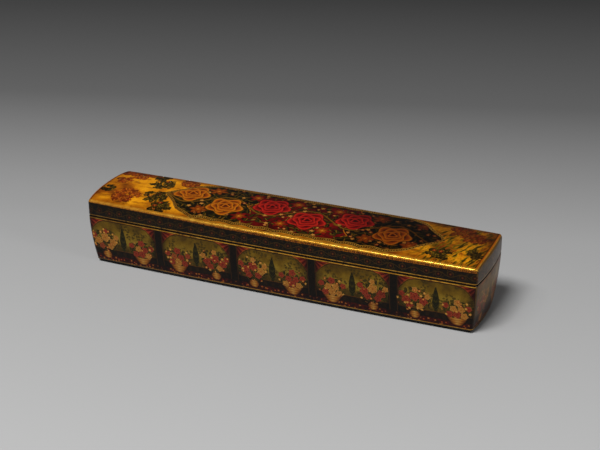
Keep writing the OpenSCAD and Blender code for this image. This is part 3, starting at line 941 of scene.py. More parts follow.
def leaf_paint(ground, place, pitch, size, tones, where=1.0, keep=None):
    """Leaves of a (length, width) over a ground; keep eases in those whose chance is high enough.

    The tones are those of the two halves, the midrib and the outline.
    """
    offset, chance, _ = scatter(place, pitch)
    u, v, _ = offset.parts()
    turn = chance[0] * FULL_TURN
    c, s = turn.sum("COSINE"), turn.sum("SINE")
    along, side = u * c + v * s, v * c - u * s
    inside = abs(side) * (2.0 / size[1]) + (along * (2.0 / size[0])) ** 2.0
    paint = side.ease(-0.25, 0.25).ramp((0.0, tones[0]), (1.0, tones[1]))
    paint = paint.over(tones[2], abs(side).ease(0.16, 0.05))
    paint = paint.over(tones[3], inside.ease(0.72, 1.0))
    if keep:
        where = chance[1].ease(*keep) * where
    return ground.over(paint, inside.ease(1.06, 0.94) * where)


def blossom_paint(ground, place, pitch, reach, count, tones, where, keep):
    """Small flat blossoms over a ground, kept by chance as leaves are.

    The tones are those of the eye, the inside, and two kinds of outside.
    """
    offset, chance, _ = scatter(place, pitch, 0.75)
    radius, angle = polar(offset)
    edge = ((angle * count + chance[0] * FULL_TURN).sum("COSINE") * 0.2 + 0.8) * reach
    share = radius / edge
    outer = chance[1].ease(0.45, 0.55).ramp((0.0, tones[2]), (1.0, tones[3]))
    paint = outer.over(tones[1], share.ease(0.75, 0.3))
    paint = paint.over(tones[0], share.ease(0.34, 0.24))
    paint = paint.over("#1c0d06", share.ease(0.86, 1.0) * 0.8)
    return ground.over(paint, share.ease(1.06, 0.94) * (where * chance[2].ease(*keep)))


print("motifs ready")

# %% [markdown]
# Over the painting lies the varnish. It has yellowed, so it multiplies every colour by a warm amber; it
# has crackled, so fine dark lines cross it; and it is glossy, so the shader has a clear coat. Gilding is
# the same surface with some metal in it. One function finishes every painted face in this way.

# %% Varnish
AMBER, SIDE_AMBER = "#f6d28c", "#c8aa71"
# Where the gilding thins towards the left: partly wear, partly a painted highlight that keeps it full on the
# right
LEFT_FADE_FROM, LEFT_FADE_TO, LEAST_GILT = 0.0, -150.0, 0.35


def varnished(material, colour, gilt, place, coat=0.12, amber=AMBER):
    """Finishes a painted surface: amber, specks, gilding, crackle and a clear coat."""
    grain, worn = place.noise(1.6, 3.0), place.noise(0.09, 4.0)
    colour = colour.tinted(amber, 1.0)
    colour = colour.tinted("#7a5426", grain.ease(0.5, 0.8) * 0.4)
    colour = colour.tinted("#5a4020", worn.ease(0.54, 0.78) * 0.45)
    leaf = place.noise(0.3, 4.0).ramp((0.3, "#a06a18"), (0.5, "#bb8426"), (0.75, "#d6a640"))
    colour = colour.over(leaf, gilt)
    cracks = {"Vector": wobble(place, 1.2, 0.5), "Scale": 0.3}
    crack = place.put("TexVoronoi", {"feature": "DISTANCE_TO_EDGE"}, cracks).ease(0.022, 0.006)
    crack = crack * worn.ease(0.35, 0.6) * (1.0 - gilt * 0.9)
    colour = colour.tinted("#2a1a0c", crack * 0.5)
    brushed = grain * 0.35 + place.noise(0.35, 2.0) * 0.5
    height = brushed * (1.0 - gilt * 0.85) + gilt * 0.12 - crack * 0.6
    rough = worn * 0.2 + grain * 0.16 + 0.2 - gilt * 0.12
    fixed = {"Coat Weight": coat, "Coat Roughness": 0.1, "Specular IOR Level": 0.1}
    bump = height.bump(0.2, 0.12)
    return shader(material, fixed, base_color=colour, roughness=rough, metallic=gilt * 0.6, normal=bump)


def gilt_worn_and_lit_right(x):
    """How much gilding shows: less towards the left end, partly wear and partly a painted highlight that
    keeps the gold full towards the right.
    """
    return x.ease(LEFT_FADE_TO, LEFT_FADE_FROM) * (1.0 - LEAST_GILT) + LEAST_GILT


print("varnish ready")

# %% [markdown]
# The top of the lid carries the main design. Its ground is gold, clouded and streaked, with bushes towards
# both ends and strokes of green grass at the right. A bush is a heap of round clumps of leaves in three
# layers, from dark to light, and every other bush is olive instead of rust. Each clump asks whether its own
# middle lies on a bush, so that none is cut in half.

# %% Gold ground of the lid
# Bushes as (x, y, reach) in millimetres
BUSHES = [
    (-113.0, -14.0, 11.0), (-94.0, -9.0, 9.0), (-126.0, 8.0, 6.0), (-98.0, 11.0, 10.0), (-118.0, 20.0, 9.0),
    (-84.0, -20.0, 8.0), (-82.0, 21.0, 8.0), (107.0, -18.0, 8.0), (122.0, 10.0, 9.0), (128.0, -12.0, 7.0),
    (110.0, 18.0, 9.0), (-129.0, -8.0, 6.0), (-131.0, 22.0, 7.0), (-104.0, 24.0, 7.0),
]
# Layers of clumps: pitch, reach, least chance, then (light, body, line) tones in rust and in olive
CLUMPS = (
    (3.4, 2.5, 0.0, ("#6e3a0e", "#5a280a", "#2c1004"), ("#2e2a0a", "#1e1b07", "#0a0803")),
    (2.5, 1.6, 0.25, ("#9a5a18", "#7c3c0c", "#3a1605"), ("#524a16", "#2c280a", "#0f0c05")),
    (1.9, 0.8, 0.55, ("#c88a2c", "#a0601a", "#5a2a0a"), ("#85782a", "#544c18", "#1e1a08")),
)
GRASS_FROM, GRASS_FULL = 86.0, 104.0


def foliage(ground, place, pitch, reach, least, rust, olive):
    """One layer of round clumps of leaves on the bushes, whole clumps only."""
    offset, chance, spot = scatter(place, pitch)
    bush, number = nearest(spot, BUSHES)
    radius, angle = polar(offset)
    edge = ((angle * 6.0 + chance[0] * FULL_TURN).sum("COSINE") * 0.13 + 0.87) * reach
    share = radius / edge
    paints = []
    for light, body, line in (rust, olive):
        paints.append(share.ramp((0.1, light), (0.55, body), (0.8, body), (1.0, line)))
    paint = paints[0].over(paints[1], number.sum("MODULO", 2.0))
    ragged = bush.length() + spot.noise(0.14, 3.0) * 1.2 - 0.6
    grows = ragged.ease(0.9, 0.86) * chance[1].ease(least - 0.02, least)
    return ground.over(paint, share.ease(1.08, 0.92) * grows)


def gold_ground(hand):
    """Clouded gold leaf with streaks, grass at the right, and bushes with a few red blossoms."""
    x, y, _ = hand.parts()
    cloud = hand.noise(0.045, 4.0)
    colour = cloud.ramp((0.3, "#54280a"), (0.41, "#95600a"), (0.5, "#c08e12"), (0.66, "#dcae26"))
    streak = hand.scaled((0.06, 0.2, 1.0)).noise(1.0, 4.0)
    colour = colour.tinted("#6e3a0a", streak.ease(0.5, 0.72) * 0.7)
    blades = flat_vector(x * 0.42 - y * 0.16, x * 0.05 + y * 0.09).noise(1.0, 3.0)
    right = x.ease(GRASS_FROM, GRASS_FULL)
    colour = colour.over("#66640f", blades.ease(0.47, 0.54) * right * 0.85)
    colour = colour.over("#1e1c06", blades.ease(0.56, 0.61) * right * 0.9)
    colour = colour.over("#6a2e08", blades.ease(0.42, 0.36) * right * 0.75)
    for layer in CLUMPS:
        colour = foliage(colour, hand, *layer)
    red = ("#b8923c", "#540e0a", "#7a1a14", "#96682f")
    near = nearest(hand, BUSHES)[0].length().ease(0.8, 0.7)
    return blossom_paint(colour, hand, 5.5, 1.6, 5, red, near, (0.55, 0.6))


print("bushes:", len(BUSHES), "each in layers:", len(CLUMPS))

# %% [markdown]
# On the gold lies a lobed panel of black-brown with a crimson heart. A vine swings along it from side to
# side, with a rose in each swing and lilies between. Roses and lilies could be placed one by one, but a
# vine repeats itself: one lap of it is drawn, and the place along the lid is wrapped into that lap. The
# flowers are red over the heart and orange beyond it.

# %% Flower panel of the lid
# Length of one swing of the vine, middle of the panel, and half lengths of its heart and of the whole
SWING, MIDDLE, HEART, LAST_ROSE = 58.0, 8.0, 38.0, 90.0
HALF_SWING, VINE_REACH, HEART_LOBE = SWING / 2, 8.5, 16.0
LILIES = [(0.0, 15.6, 7.0), (0.0, -15.8, 6.6)]
LILIES += [(x, y, 6.8) for y in (15.6, -15.4) for x in (HALF_SWING, -HALF_SWING)]
ROSES = [(HALF_SWING / 2, -5.5, 14.0), (-HALF_SWING / 2, 5.5, 14.0)]


def beyond_heart(gap):
    """0 over the crimson heart and 1 past it, for a distance from the panel's middle."""
    return gap.ease(HEART, HEART + 6.0)


def panel_ground(colour, hand, depth, inner):
    """Black-brown with a crimson heart, leaves, the vine and small blossoms."""
    x, y, _ = hand.parts()
    grain = hand.noise(0.09, 3.0)
    dark = grain.ramp((0.35, "#0d0b06"), (0.6, "#19160a"), (0.75, "#282312"))
    colour = colour.over(dark, depth.ease(-0.25, 0.25))
    heart = abs(x - MIDDLE) + abs(wave(y, 2 * HEART_LOBE)) * 5.0 - HEART
    red_ground = grain.ramp((0.35, "#2c0407"), (0.55, "#56090d"), (0.75, "#7e1316"))
    colour = colour.over(red_ground, heart.ease(0.25, -0.25) * inner)
    colour = colour.over("#a8701a", heart.within(-0.4, 0.4, 0.15) * inner)
    greens = ("#12160a", "#2c2e0e", "#4c4818", "#080703")
    colour = leaf_paint(colour, hand.shifted((11.0, 5.0, 0.0)), 5.6, (6.8, 3.0), greens, inner)
    olive = ("#2e280b", "#574814", "#7e6824", "#0d0a04")
    colour = leaf_paint(colour, hand.shifted((3.0, 29.0, 0.0)), 4.4, (4.4, 1.7), olive, inner, (0.3, 0.35))
    vine = abs(y - wave(x, SWING) * VINE_REACH)
    colour = colour.over("#6e5618", vine.ease(0.75, 0.45) * inner)
    small = ("#a87a20", "#bda478", "#a07a48", "#701c16")
    return blossom_paint(colour, hand.shifted((5.0, 9.0, 0.0)), 5.0, 1.7, 5, small, inner, (0.58, 0.62))


def flower_panel(colour, hand, depth):
    """The painted panel with its lilies and roses; depth is the distance in from its edge."""
    x, y, _ = hand.parts()
    inner = depth.ease(2.6, 3.4)
    colour = panel_ground(colour, hand, depth, inner)
    lap = flat_vector(x.sum("WRAP", HALF_SWING, -HALF_SWING), y)
    lilies, _ = nearest(lap, LILIES)
    lily_gap = abs((x / HALF_SWING + 0.5).sum("FLOOR") * HALF_SWING - MIDDLE)
    radius, angle = polar(lilies)
    amber = ((0.0, "#c49a40"), (0.3, "#9a5a0e"), (0.85, "#6e3608"), (1.0, "#1a0b03"))
    flame = ((0.0, "#c49a40"), (0.3, "#8e1c12"), (0.85, "#5a0c0b"), (1.0, "#140303"))
    colour = petals(colour, radius, angle, 6, 0.78, 0.2, 0.0, flame, amber, beyond_heart(lily_gap), inner)
    colour = petals(colour, radius, angle, 6, 0.48, 0.12, math.pi, amber, where=inner)
    roses, _ = nearest(lap, ROSES)
    rose_gap = abs((x / HALF_SWING).sum("FLOOR") * HALF_SWING + (HALF_SWING / 2 - MIDDLE))
    crimson = ("#2c0407", "#7e0d13", "#b42a2c", "#120203")
    orange = ("#451a05", "#935009", "#bd801c", "#160803")
    grown = inner * rose_gap.ease(LAST_ROSE, LAST_ROSE - 4.0)
    colour = rose(colour, roses, crimson, orange, beyond_heart(rose_gap), grown)
    # The panel is toned darker, and painted shade deepens it towards the right
    return colour.tinted("#8c6c4c", (x.ease(34.0, 62.0) * 0.55 + 0.25) * inner)


print("lilies and roses in a lap:", len(LILIES), "and", len(ROSES))

# %% [markdown]
# The whole top now comes together: ground, panel, the panel's brown border with its gilt lines and beads,
# a brown darkening towards the edges, painted shade that darkens the right and the back, and the edges
# themselves. The distance in from a curved edge is the straight distance less the bow, so the lines at the
# ends follow it.

# %% Paint the top of the lid
PANEL_HALF, PANEL_LOBE, BEAD = 27.6, 14.5, 1.45
NOSE_FROM, NOSE_END, NOSE_POWER = 66.0, 99.0, 0.6


def lid_top_paint():
    material, ink = new_material("lacquer_lid_top")
    place, x0, y0, _ = place_on_box(ink)
    hand = wobble(flat_vector(x0, y0), 1.5)
    x, y, _ = hand.parts()
    nose = 1.0 - abs(x - MIDDLE).ease(NOSE_FROM, NOSE_END)
    depth = (nose**NOSE_POWER) * PANEL_HALF - abs(wave(x, 2 * PANEL_LOBE)) * 1.3 - abs(y)
    colour = flower_panel(gold_ground(hand), hand, depth)

    colour = colour.over("#3a2008", depth.within(0.35, 2.55, 0.12))
    beads = abs(wave(x, 2 * BEAD)) * depth.within(1.0, 1.9, 0.25)
    lines = depth.within(-0.1, 0.35, 0.12).sum("MAXIMUM", depth.within(2.5, 2.9, 0.12))
    gilt = lines.sum("MAXIMUM", beads.ease(0.5, 0.75))

    half_l, half_w = HALF_L / MM, HALF_W / MM
    end_gap = half_l - abs(x0) - y0 * y0 * (END_BOW / MM / half_w**2)
    side_gap = half_w - abs(y0) - x0 * x0 * (SIDE_BOW / MM / half_l**2)
    edge = end_gap.sum("MINIMUM", side_gap * 1.4) + place.noise(0.12, 3.0) * 12.0 - 6.0
    # A brown darkening, ragged by noise, towards the edges of the top
    colour = colour.tinted("#8a5a24", edge.ease(13.0, 1.0) * 0.75)
    # Painted shade: the top darkens towards the back and the right, away from the lamp
    colour = colour.tinted("#5a3c1c", (y0 * 0.7 + x0 * 0.12).ease(-4.0, 26.0) * 0.7)
    colour = colour.over("#241405", end_gap.ease(2.9, 2.6) * 0.8)
    colour = colour.over("#8a4e0e", end_gap.ease(2.2, 2.0))
    # Over the rounded end the paint turns the pale grey-brown of the end faces, the same painted sheen
    colour = colour.over("#5a4c34", end_gap.ease(1.0, 0.7))
    inside = end_gap.ease(2.6, 2.9) * side_gap.ease(1.7, 2.0)
    # The gilt arris thins towards the left: partly wear, partly a painted highlight on the right half
    arris = (side_gap.ease(1.75, 1.35) * gilt_worn_and_lit_right(x0)).sum("MAXIMUM", end_gap.within(0.95, 1.35, 0.1))
    gilt = (gilt * inside).sum("MAXIMUM", arris * place.noise(0.35, 3.0).ease(0.1, 0.3))
    return varnished(material, colour, gilt, place)


lid_top = lid_top_paint()
print("lid top nodes:", len(lid_top.node_tree.nodes))

# %% [markdown]
# The rim of the lid is a dark band with a running scroll in dull gold, a common filling for a narrow
# border: a wave is the stem, and each of its bends holds a curl with a small flower in it. The long sides
# and the ends share one function, which reads the place along the box for the one and across it for the
# other. The ends are painted paler, a grey-brown painted sheen, with painted shade along the seam and one
# faint gilt line, which is partly a painted highlight on the lid's lower edge. Under the shoulder of the
# long sides runs a band of dull gold with dark dots, which narrows to the left: partly wear, partly a
# painted highlight that widens it towards the right.

# %% Paint the rim of the lid
# Length of one wave of the scroll, height of its middle over the seam, and how far it swings
SCROLL, SCROLL_Z, SCROLL_REACH = 15.2, 4.9, 1.3
CURLS = [(SCROLL / 4, -0.5, 2.1), (-SCROLL / 4, 0.5, 2.1)]
BAND_LEAST, BAND_GROWTH, BAND_FULL, DOT_STEP = 0.7, 1.5, 40.0, 1.3


def rim_paint(name, across):
    material, ink = new_material(name)
    place, x0, y0, z0 = place_on_box(ink)
    height = z0 - SEAM / MM
    hand = wobble(flat_vector(y0 if across else x0, height), 0.6, 0.4)
    u, v, _ = hand.parts()
    # The ends get a paler grey-brown ground, a painted sheen
    ground = ("#32291a", "#51442f", "#736247") if across else ("#0c0a05", "#141108", "#211b0d")
    colour = place.noise(0.3, 4.0).ramp(*zip((0.34, 0.55, 0.75), ground))
    sprigs = ("#1e1909", "#2e250d", "#403414", "#0b0904")
    colour = leaf_paint(colour, hand, 2.2, (2.6, 1.1), sprigs, keep=(0.4, 0.45))
    stem = abs(v - SCROLL_Z - wave(u, SCROLL) * SCROLL_REACH).ease(0.36, 0.14)
    lap = flat_vector(u.sum("WRAP", SCROLL / 2, -SCROLL / 2), v - SCROLL_Z)
    curl, _ = nearest(lap, CURLS)
    radius, angle = polar(curl)
    ring = abs(radius - 0.92).ease(0.14, 0.05)
    colour = colour.over("#4a3a14", stem.sum("MAXIMUM", ring) * 0.75)
    bloom = ((0.2, "#6a501e"), (0.45, "#48180e"), (1.0, "#200905"))
    colour = petals(colour, radius, angle, 5, 0.56, 0.14, 0.0, bloom)
    rubbed = place.noise(0.5, 3.0).ease(0.25, 0.5)
    gilt = height.within(0.75, 1.45, 0.12)
    if across:
        # Painted shade: a dark strip along the seam of the ends; the faint gilt line above it is partly a
        # painted highlight
        colour = colour.over("#120b05", height.ease(1.15, 1.05))
        return varnished(material, colour, gilt * rubbed * 0.5, place)
    gap = RIM / MM - height
    # The dull gold band narrows towards the left: partly wear, partly a painted highlight that widens it on
    # the right
    past = gap - x0.ease(LEFT_FADE_TO, BAND_FULL) * BAND_GROWTH - BAND_LEAST
    colour = colour.over("#1a0e05", past.ease(0.4, 0.2))
    dull_gold = place.noise(0.8, 3.0).ramp((0.36, "#5a300a"), (0.64, "#b87e1c"))
    colour = colour.over(dull_gold, past.ease(0.1, -0.1))
    dots = wave(u, DOT_STEP).ease(-0.5, 0.2) * gap.within(0.9, 1.9, 0.2)
    colour = colour.over("#3a1e08", dots * past.ease(0.0, -0.4) * 0.7)
    # The gilt of the band also thins towards the left: partly wear, partly painted highlight
    gilt = gilt.sum("MAXIMUM", gap.ease(0.75, 0.35)) * gilt_worn_and_lit_right(x0)
    return varnished(material, colour, gilt * rubbed, place, amber=SIDE_AMBER)


rim_side, rim_end = rim_paint("lacquer_lid_rim", False), rim_paint("lacquer_lid_end", True)
print("rim nodes:", len(rim_side.node_tree.nodes), "and", len(rim_end.node_tree.nodes))

# %% [markdown]
# The walls of the base carry a frieze of wide bays, like the openings of a garden pavilion, parted by dark
# posts. Through each bay one looks over a low wall at hills and trees under an olive sky. A red curtain is
# tied up in the corners, a cypress stands in the middle, and a flowered carpet lies in front. All of it is
# drawn from the height and from the distance to the middle of the bay or to its nearest post.

# %% Bays of the frieze
BAYS = 5
BAY = 2 * HALF_L / MM / BAYS
FOOT_LINE, CARPET_TOP, WALL_TOP, SKY_TOP = 2.6, 7.2, 12.2, SEAM / MM - 1.4
GLOW_Z, TREE_TOP, PANEL_STEP = 21.0, 30.5, 5.45
POST, SWAG_END, SWAG_DROP = 2.5, 14.5, 9.5


def landscape(place, height):
    """Sky, hills and trees behind the bays."""
    haze = place.noise(0.12, 3.0)
    glow = abs(height - GLOW_Z) * -0.03 + haze * 0.7 + 0.35
    colour = glow.ramp((0.3, "#564a16"), (0.5, "#7a6c20"), (0.7, "#9a9042"))
    ridge = place.shifted((5.0, 0.0, 0.0), (0.05, 0.0, 0.0)).noise(1.0, 3.0) * 17.0 + 8.5 - height
    colour = colour.over(haze.ramp((0.35, "#40380f"), (0.65, "#605422")), ridge.ease(-0.9, 0.9) * 0.85)
    grove = place.noise(0.085, 2.0).ease(0.44, 0.52)
    boughs = ("#28290e", "#434119", "#625a26", "#1a190b")
    return leaf_paint(colour, place, 1.8, (2.4, 1.3), boughs, grove * 0.85, (0.3, 0.36))


def garden(colour, hand, local):
    """Cypress, low wall and carpet of a bay; local is the place across it."""
    z = hand.parts()[1]
    climb = z.share(WALL_TOP - 1.0, TREE_TOP)
    flame = ((climb * math.pi).sum("SINE") ** 0.75) * (2.9 - climb * 1.3) + 0.01
    spire = abs(local) / flame
    strokes = flat_vector(abs(local) * 0.5 - z * 0.35, z * 0.1).noise(2.4, 2.0)
    tree = strokes.ramp((0.38, "#16190a"), (0.55, "#2c3112"), (0.7, "#4c4e20"))
    colour = colour.over(tree, spire.ease(1.06, 0.9) * climb.within(0.02, 0.97, 0.01))

    low_wall = hand.noise(0.5, 3.0).ramp((0.4, "#120d06"), (0.65, "#20170b"))
    colour = colour.over(low_wall, z.ease(WALL_TOP + 0.2, WALL_TOP - 0.2))
    panels = (local * (FULL_TURN / PANEL_STEP)).sum("COSINE").ease(0.1, 0.5)
    panels = panels * z.within(CARPET_TOP + 1.0, WALL_TOP - 1.2, 0.2)
    colour = colour.over("#2c200e", panels * 0.8)
    colour = colour.over("#6e4c1a", z.within(WALL_TOP - 0.4, WALL_TOP, 0.12) * 0.8)

    carpet = hand.noise(0.5, 2.0).ramp((0.38, "#220605"), (0.62, "#4e110e"))
    colour = colour.over(carpet, z.ease(CARPET_TOP + 0.15, CARPET_TOP - 0.15))
    woven = ("#d9a54a", "#a8483c", "#8a241e", "#b07a4a")
    field = z.ease(CARPET_TOP - 0.5, CARPET_TOP - 0.7)
    return blossom_paint(colour, hand, 2.3, 0.85, 4, woven, field, (0.35, 0.4))


def pavilion(colour, hand, edge):
    """Curtains and posts of a bay; edge is the distance from its side."""
    z = hand.parts()[1]
    swag = (1.0 - edge.share(POST, SWAG_END)) ** 2.0
    hem = z - (SKY_TOP - swag * SWAG_DROP)
    fold = ((SKY_TOP + 1.0 - z).sum("ARCTAN2", edge - 1.0) * 15.0).sum("SINE") * 0.5 + 0.5
    curtain = fold.ramp((0.0, "#4e100d"), (0.5, "#86251e"), (1.0, "#ab4a40"))
    colour = colour.over("#200705", hem.within(-0.6, 0.0, 0.2) * 0.7)
    colour = colour.over(curtain, hem.ease(-0.2, 0.2))
    colour = colour.over("#a8742a", hem.within(0.25, 0.65, 0.12) * 0.8)

    colour = colour.tinted("#3a2c14", edge.ease(9.0, 3.0) * 0.75)
    post = hand.noise(0.4, 3.0).ramp((0.4, "#0d0a05"), (0.7, "#1a1208"))
    colour = colour.over(post, edge.ease(POST + 1.0, POST + 0.1) * z.ease(CARPET_TOP - 0.4, CARPET_TOP))
    line = edge.within(POST - 0.15, POST + 0.25, 0.1) * z.ease(CARPET_TOP, CARPET_TOP + 0.3)
    return colour.over("#5a3e18", line * 0.55)


print("bays on a long side:", BAYS, "each in mm:", round(BAY, 1))

# %% [markdown]
# On the carpet stand a vase and a bowl, both heaped with roses, which change sides from bay to bay. One
# pattern repeats, with a number of its own for each bay, so that no two have the same colours. Five bays
# fill a long side and one fills an end, where a grey painted sheen, stronger towards the top, hides much
# of the painting, painted shade darkens it towards the foot, and a thin strip of painted shade lies under
# the seam.

# %% Paint the walls of the base
STAND, VESSEL_FOOT, VESSEL_TOP = BAY / 4, 4.6, 11.6
# Roses as (across, height, reach) in millimetres
VASE_ROSES = [
    (0.0, 20.6, 3.7), (-5.6, 17.6, 3.3), (5.7, 17.9, 3.2), (-3.2, 13.9, 2.7), (3.4, 14.2, 2.7),
    (-8.4, 21.6, 2.3), (8.3, 21.9, 2.3), (0.3, 25.6, 2.2),
]
BOWL_ROSES = [
    (-4.6, 12.3, 2.7), (4.6, 12.3, 2.7), (0.0, 12.9, 3.1), (-2.4, 16.6, 2.6), (2.6, 16.6, 2.6),
    (0.2, 21.2, 2.8), (-7.4, 18.4, 2.3), (7.2, 18.2, 2.3),
]
BAY_ROSES = [(x - STAND, y, r) for x, y, r in VASE_ROSES] + [(x + STAND, y, r) for x, y, r in BOWL_ROSES]


def still_life(colour, hand, side, number):
    """The vase and the bowl of a numbered bay with their flowers; side is the place across the bay."""
    z = hand.parts()[1]
    lift = z.share(VESSEL_FOOT, VESSEL_TOP)
    vase = abs(side + STAND) / ((lift * math.pi * 1.15).sum("SINE") * 1.9 + 1.5)
    bowl = abs(side - STAND) / ((lift**0.6) * 5.6 + 1.4)
    inside = vase.sum("MINIMUM", bowl)
    shade = inside.ease(1.4, 1.1) * z.within(VESSEL_FOOT - 0.4, VESSEL_TOP + 0.1, 0.2)
    colour = colour.over("#140a05", shade * 0.7)
    glaze = inside.ramp((0.0, "#d9b87c"), (0.55, "#b5843e"), (1.0, "#42260e"))
    glaze = glaze.over("#7c2014", (lift * 26.0).sum("SINE").ease(0.3, 0.7) * 0.55)
    vessel = inside.ease(1.04, 0.96) * z.within(VESSEL_FOOT + 0.1, VESSEL_TOP - 0.1, 0.12)
    colour = colour.over(glaze, vessel)

    bouquet = flat_vector(side + STAND, z - 18.6).scaled((1 / 11.0, 1 / 9.0, 0.0)).length()
    heap = flat_vector(side - STAND, z - 16.5).scaled((1 / 9.5, 1 / 7.0, 0.0)).length()
    crown = bouquet.sum("MINIMUM", heap)
    stalks = ("#1a1e0a", "#3a3e16", "#66622a", "#0d0e06")
    leafy = crown.ease(1.05, 0.9)
    colour = leaf_paint(colour, hand.shifted((4.0, 2.0, 0.0)), 2.9, (4.6, 1.9), stalks, leafy)
    flower, mark = nearest(flat_vector(side, z), BAY_ROSES)
    dice = mark.put("TexWhiteNoise", {"noise_dimensions": "2D"}, {"Vector": flat_vector(mark, number)})
    peach = ("#8a5220", "#c48c46", "#e2bf80", "#2c1408")
    pink = ("#560e0c", "#932a22", "#c0655a", "#210504")
    colour = rose(colour, flower, peach, pink, dice.ease(0.42, 0.46))
    small = ("#e8c050", "#e9cf98", "#cf9f60", "#b03a26")
    around = crown.ease(1.1, 1.0)
    return blossom_paint(colour, hand.shifted((9.0, 1.0, 0.0)), 3.1, 1.15, 5, small, around, (0.62, 0.66))


def wall_paint(name, across):
    material, ink = new_material(name)
    place, x0, y0, z0 = place_on_box(ink)
    hand = wobble(flat_vector(y0 if across else x0, z0), 0.7, 0.3)
    s, z, _ = hand.parts()
    local = s.sum("WRAP", BAY / 2, -BAY / 2)
    number = (s / BAY + 0.5).sum("FLOOR")
    turned_about = 1.0 - abs(number.sum("MODULO", 2.0)) * 2.0
    colour = garden(landscape(hand, z), hand, local)
    colour = pavilion(colour, hand, BAY / 2 - abs(local))
    colour = still_life(colour, hand, local * turned_about, number)

    top, lines = SKY_TOP, z0.within(FOOT_LINE, FOOT_LINE + 0.5, 0.1)
    if across:
        # On an end: the dark strip under the seam is narrower, painted shade in the seam; a grey haze,
        # stronger towards the top, is a painted sheen; and painted shade darkens the end towards the foot
        top = SEAM / MM - 0.5
        haze = place.noise(0.2, 3.0).ramp((0.35, "#4c4030"), (0.65, "#7a6a52"))
        colour = colour.over(haze, z0.ease(2.0, 34.0) * 0.6 + 0.15)
        colour = colour.tinted("#b0a898", z0.ease(26.0, 5.0))
    else:
        lines = lines.sum("MAXIMUM", z0.within(SKY_TOP + 0.3, SKY_TOP + 1.0, 0.1))
    colour = colour.over("#100d07", z0.ease(top - 0.15, top + 0.05))
    # Dark below the foot line: partly a dark foot, partly painted contact shadow where the box meets the
    # floor
    colour = colour.over("#0c0905", z0.ease(FOOT_LINE + 0.15, FOOT_LINE - 0.15))
    # The gilt lines thin towards the left: partly wear, partly painted highlight
    gilt = lines * place.noise(0.4, 3.0).ease(0.22, 0.48) * gilt_worn_and_lit_right(x0)
    return varnished(material, colour, gilt, place, amber=AMBER if across else SIDE_AMBER)


wall_side, wall_end = wall_paint("lacquer_wall_side", False), wall_paint("lacquer_wall_end", True)
print("wall nodes:", len(wall_side.node_tree.nodes), "and", len(wall_end.node_tree.nodes))

# %% [markdown]
# Inside and underneath, such a box is plain: dark red lacquer with a few flecks of gold, and black where it
# is handled and stands. Each face of the two shells now gets its finish by where it is and which way it
# points, so the same mesh shows painting outside and plain lacquer inside.

# %% Plain lacquers and which face gets what
# Slope that counts as upright, and round-off
LEVEL, ROUND_OFF = 0.05, 1e-9
PAINT_LOW, PAINT_HIGH = FOOT + 0.1 * MM, SEAM - 0.3 * MM
BLACK_LOW, BLACK_HIGH = FOOT + 0.2 * MM, SEAM - 1 * MM


def plain_lacquer(name, deep, light, fleck):
    material, ink = new_material(name)
    place, *_ = place_on_box(ink)
    colour = place.noise(0.16, 4.0).ramp((0.35, deep), (0.68, light))
    offset, chance, _ = scatter(place, 1.3)
    gilt = offset.length().ease(0.3, 0.18) * chance[0].ease(0.8, 0.82) * fleck
    return varnished(material, colour, gilt, place, coat=0.25)


inside_red = plain_lacquer("lacquer_inside_red", "#3d0c09", "#651610", 1.0)
foot_black = plain_lacquer("lacquer_foot_black", "#0d0a07", "#1c1610", 0.0)


def dress(piece, finishes, choose):
    """Gives each face of a piece the finish that choose(middle, normal) names."""
    piece.data.materials.clear()
    names = list(finishes)
    for name in names:
        piece.data.materials.append(finishes[name])
    for face in piece.data.polygons:
        face.material_index = names.index(choose(face.center, face.normal))
    chosen = [face.material_index for face in piece.data.polygons]
    print(piece.name, {name: chosen.count(i) for i, name in enumerate(names)})


def outward(middle, normal):
    return min(middle.x * normal.x, middle.y * normal.y) >= -ROUND_OFF


def end_or_side(normal):
    return "end" if abs(normal.x) > abs(normal.y) else "side"


def lid_face(middle, normal):
    if normal.z > LEVEL:
        return "top"
    if abs(normal.z) <= LEVEL and outward(middle, normal) and middle.z > SEAM + REVEAL:
        return end_or_side(normal)
    return "black" if middle.z < SEAM + 2 * REVEAL else "inside"


def base_face(middle, normal):
    if PAINT_LOW < middle.z < PAINT_HIGH and outward(middle, normal) and normal.z < 0.0:
        return end_or_side(normal)
    return "inside" if BLACK_LOW <= middle.z <= BLACK_HIGH else "black"


plain = {"black": foot_black, "inside": inside_red}
dress(lid, {"top": lid_top, "side": rim_side, "end": rim_end, **plain}, lid_face)
dress(base, {"side": wall_side, "end": wall_end, **plain}, base_face)

# %% [markdown]
# Brass that has been handled for years is bright where it is rubbed and brown where it is not. The finish
# mixes clean and tarnished tones by a slow noise, adds dark and green spots, and draws the fine rings that
# a lathe leaves: they follow the distance from the turning line, which each piece gives.


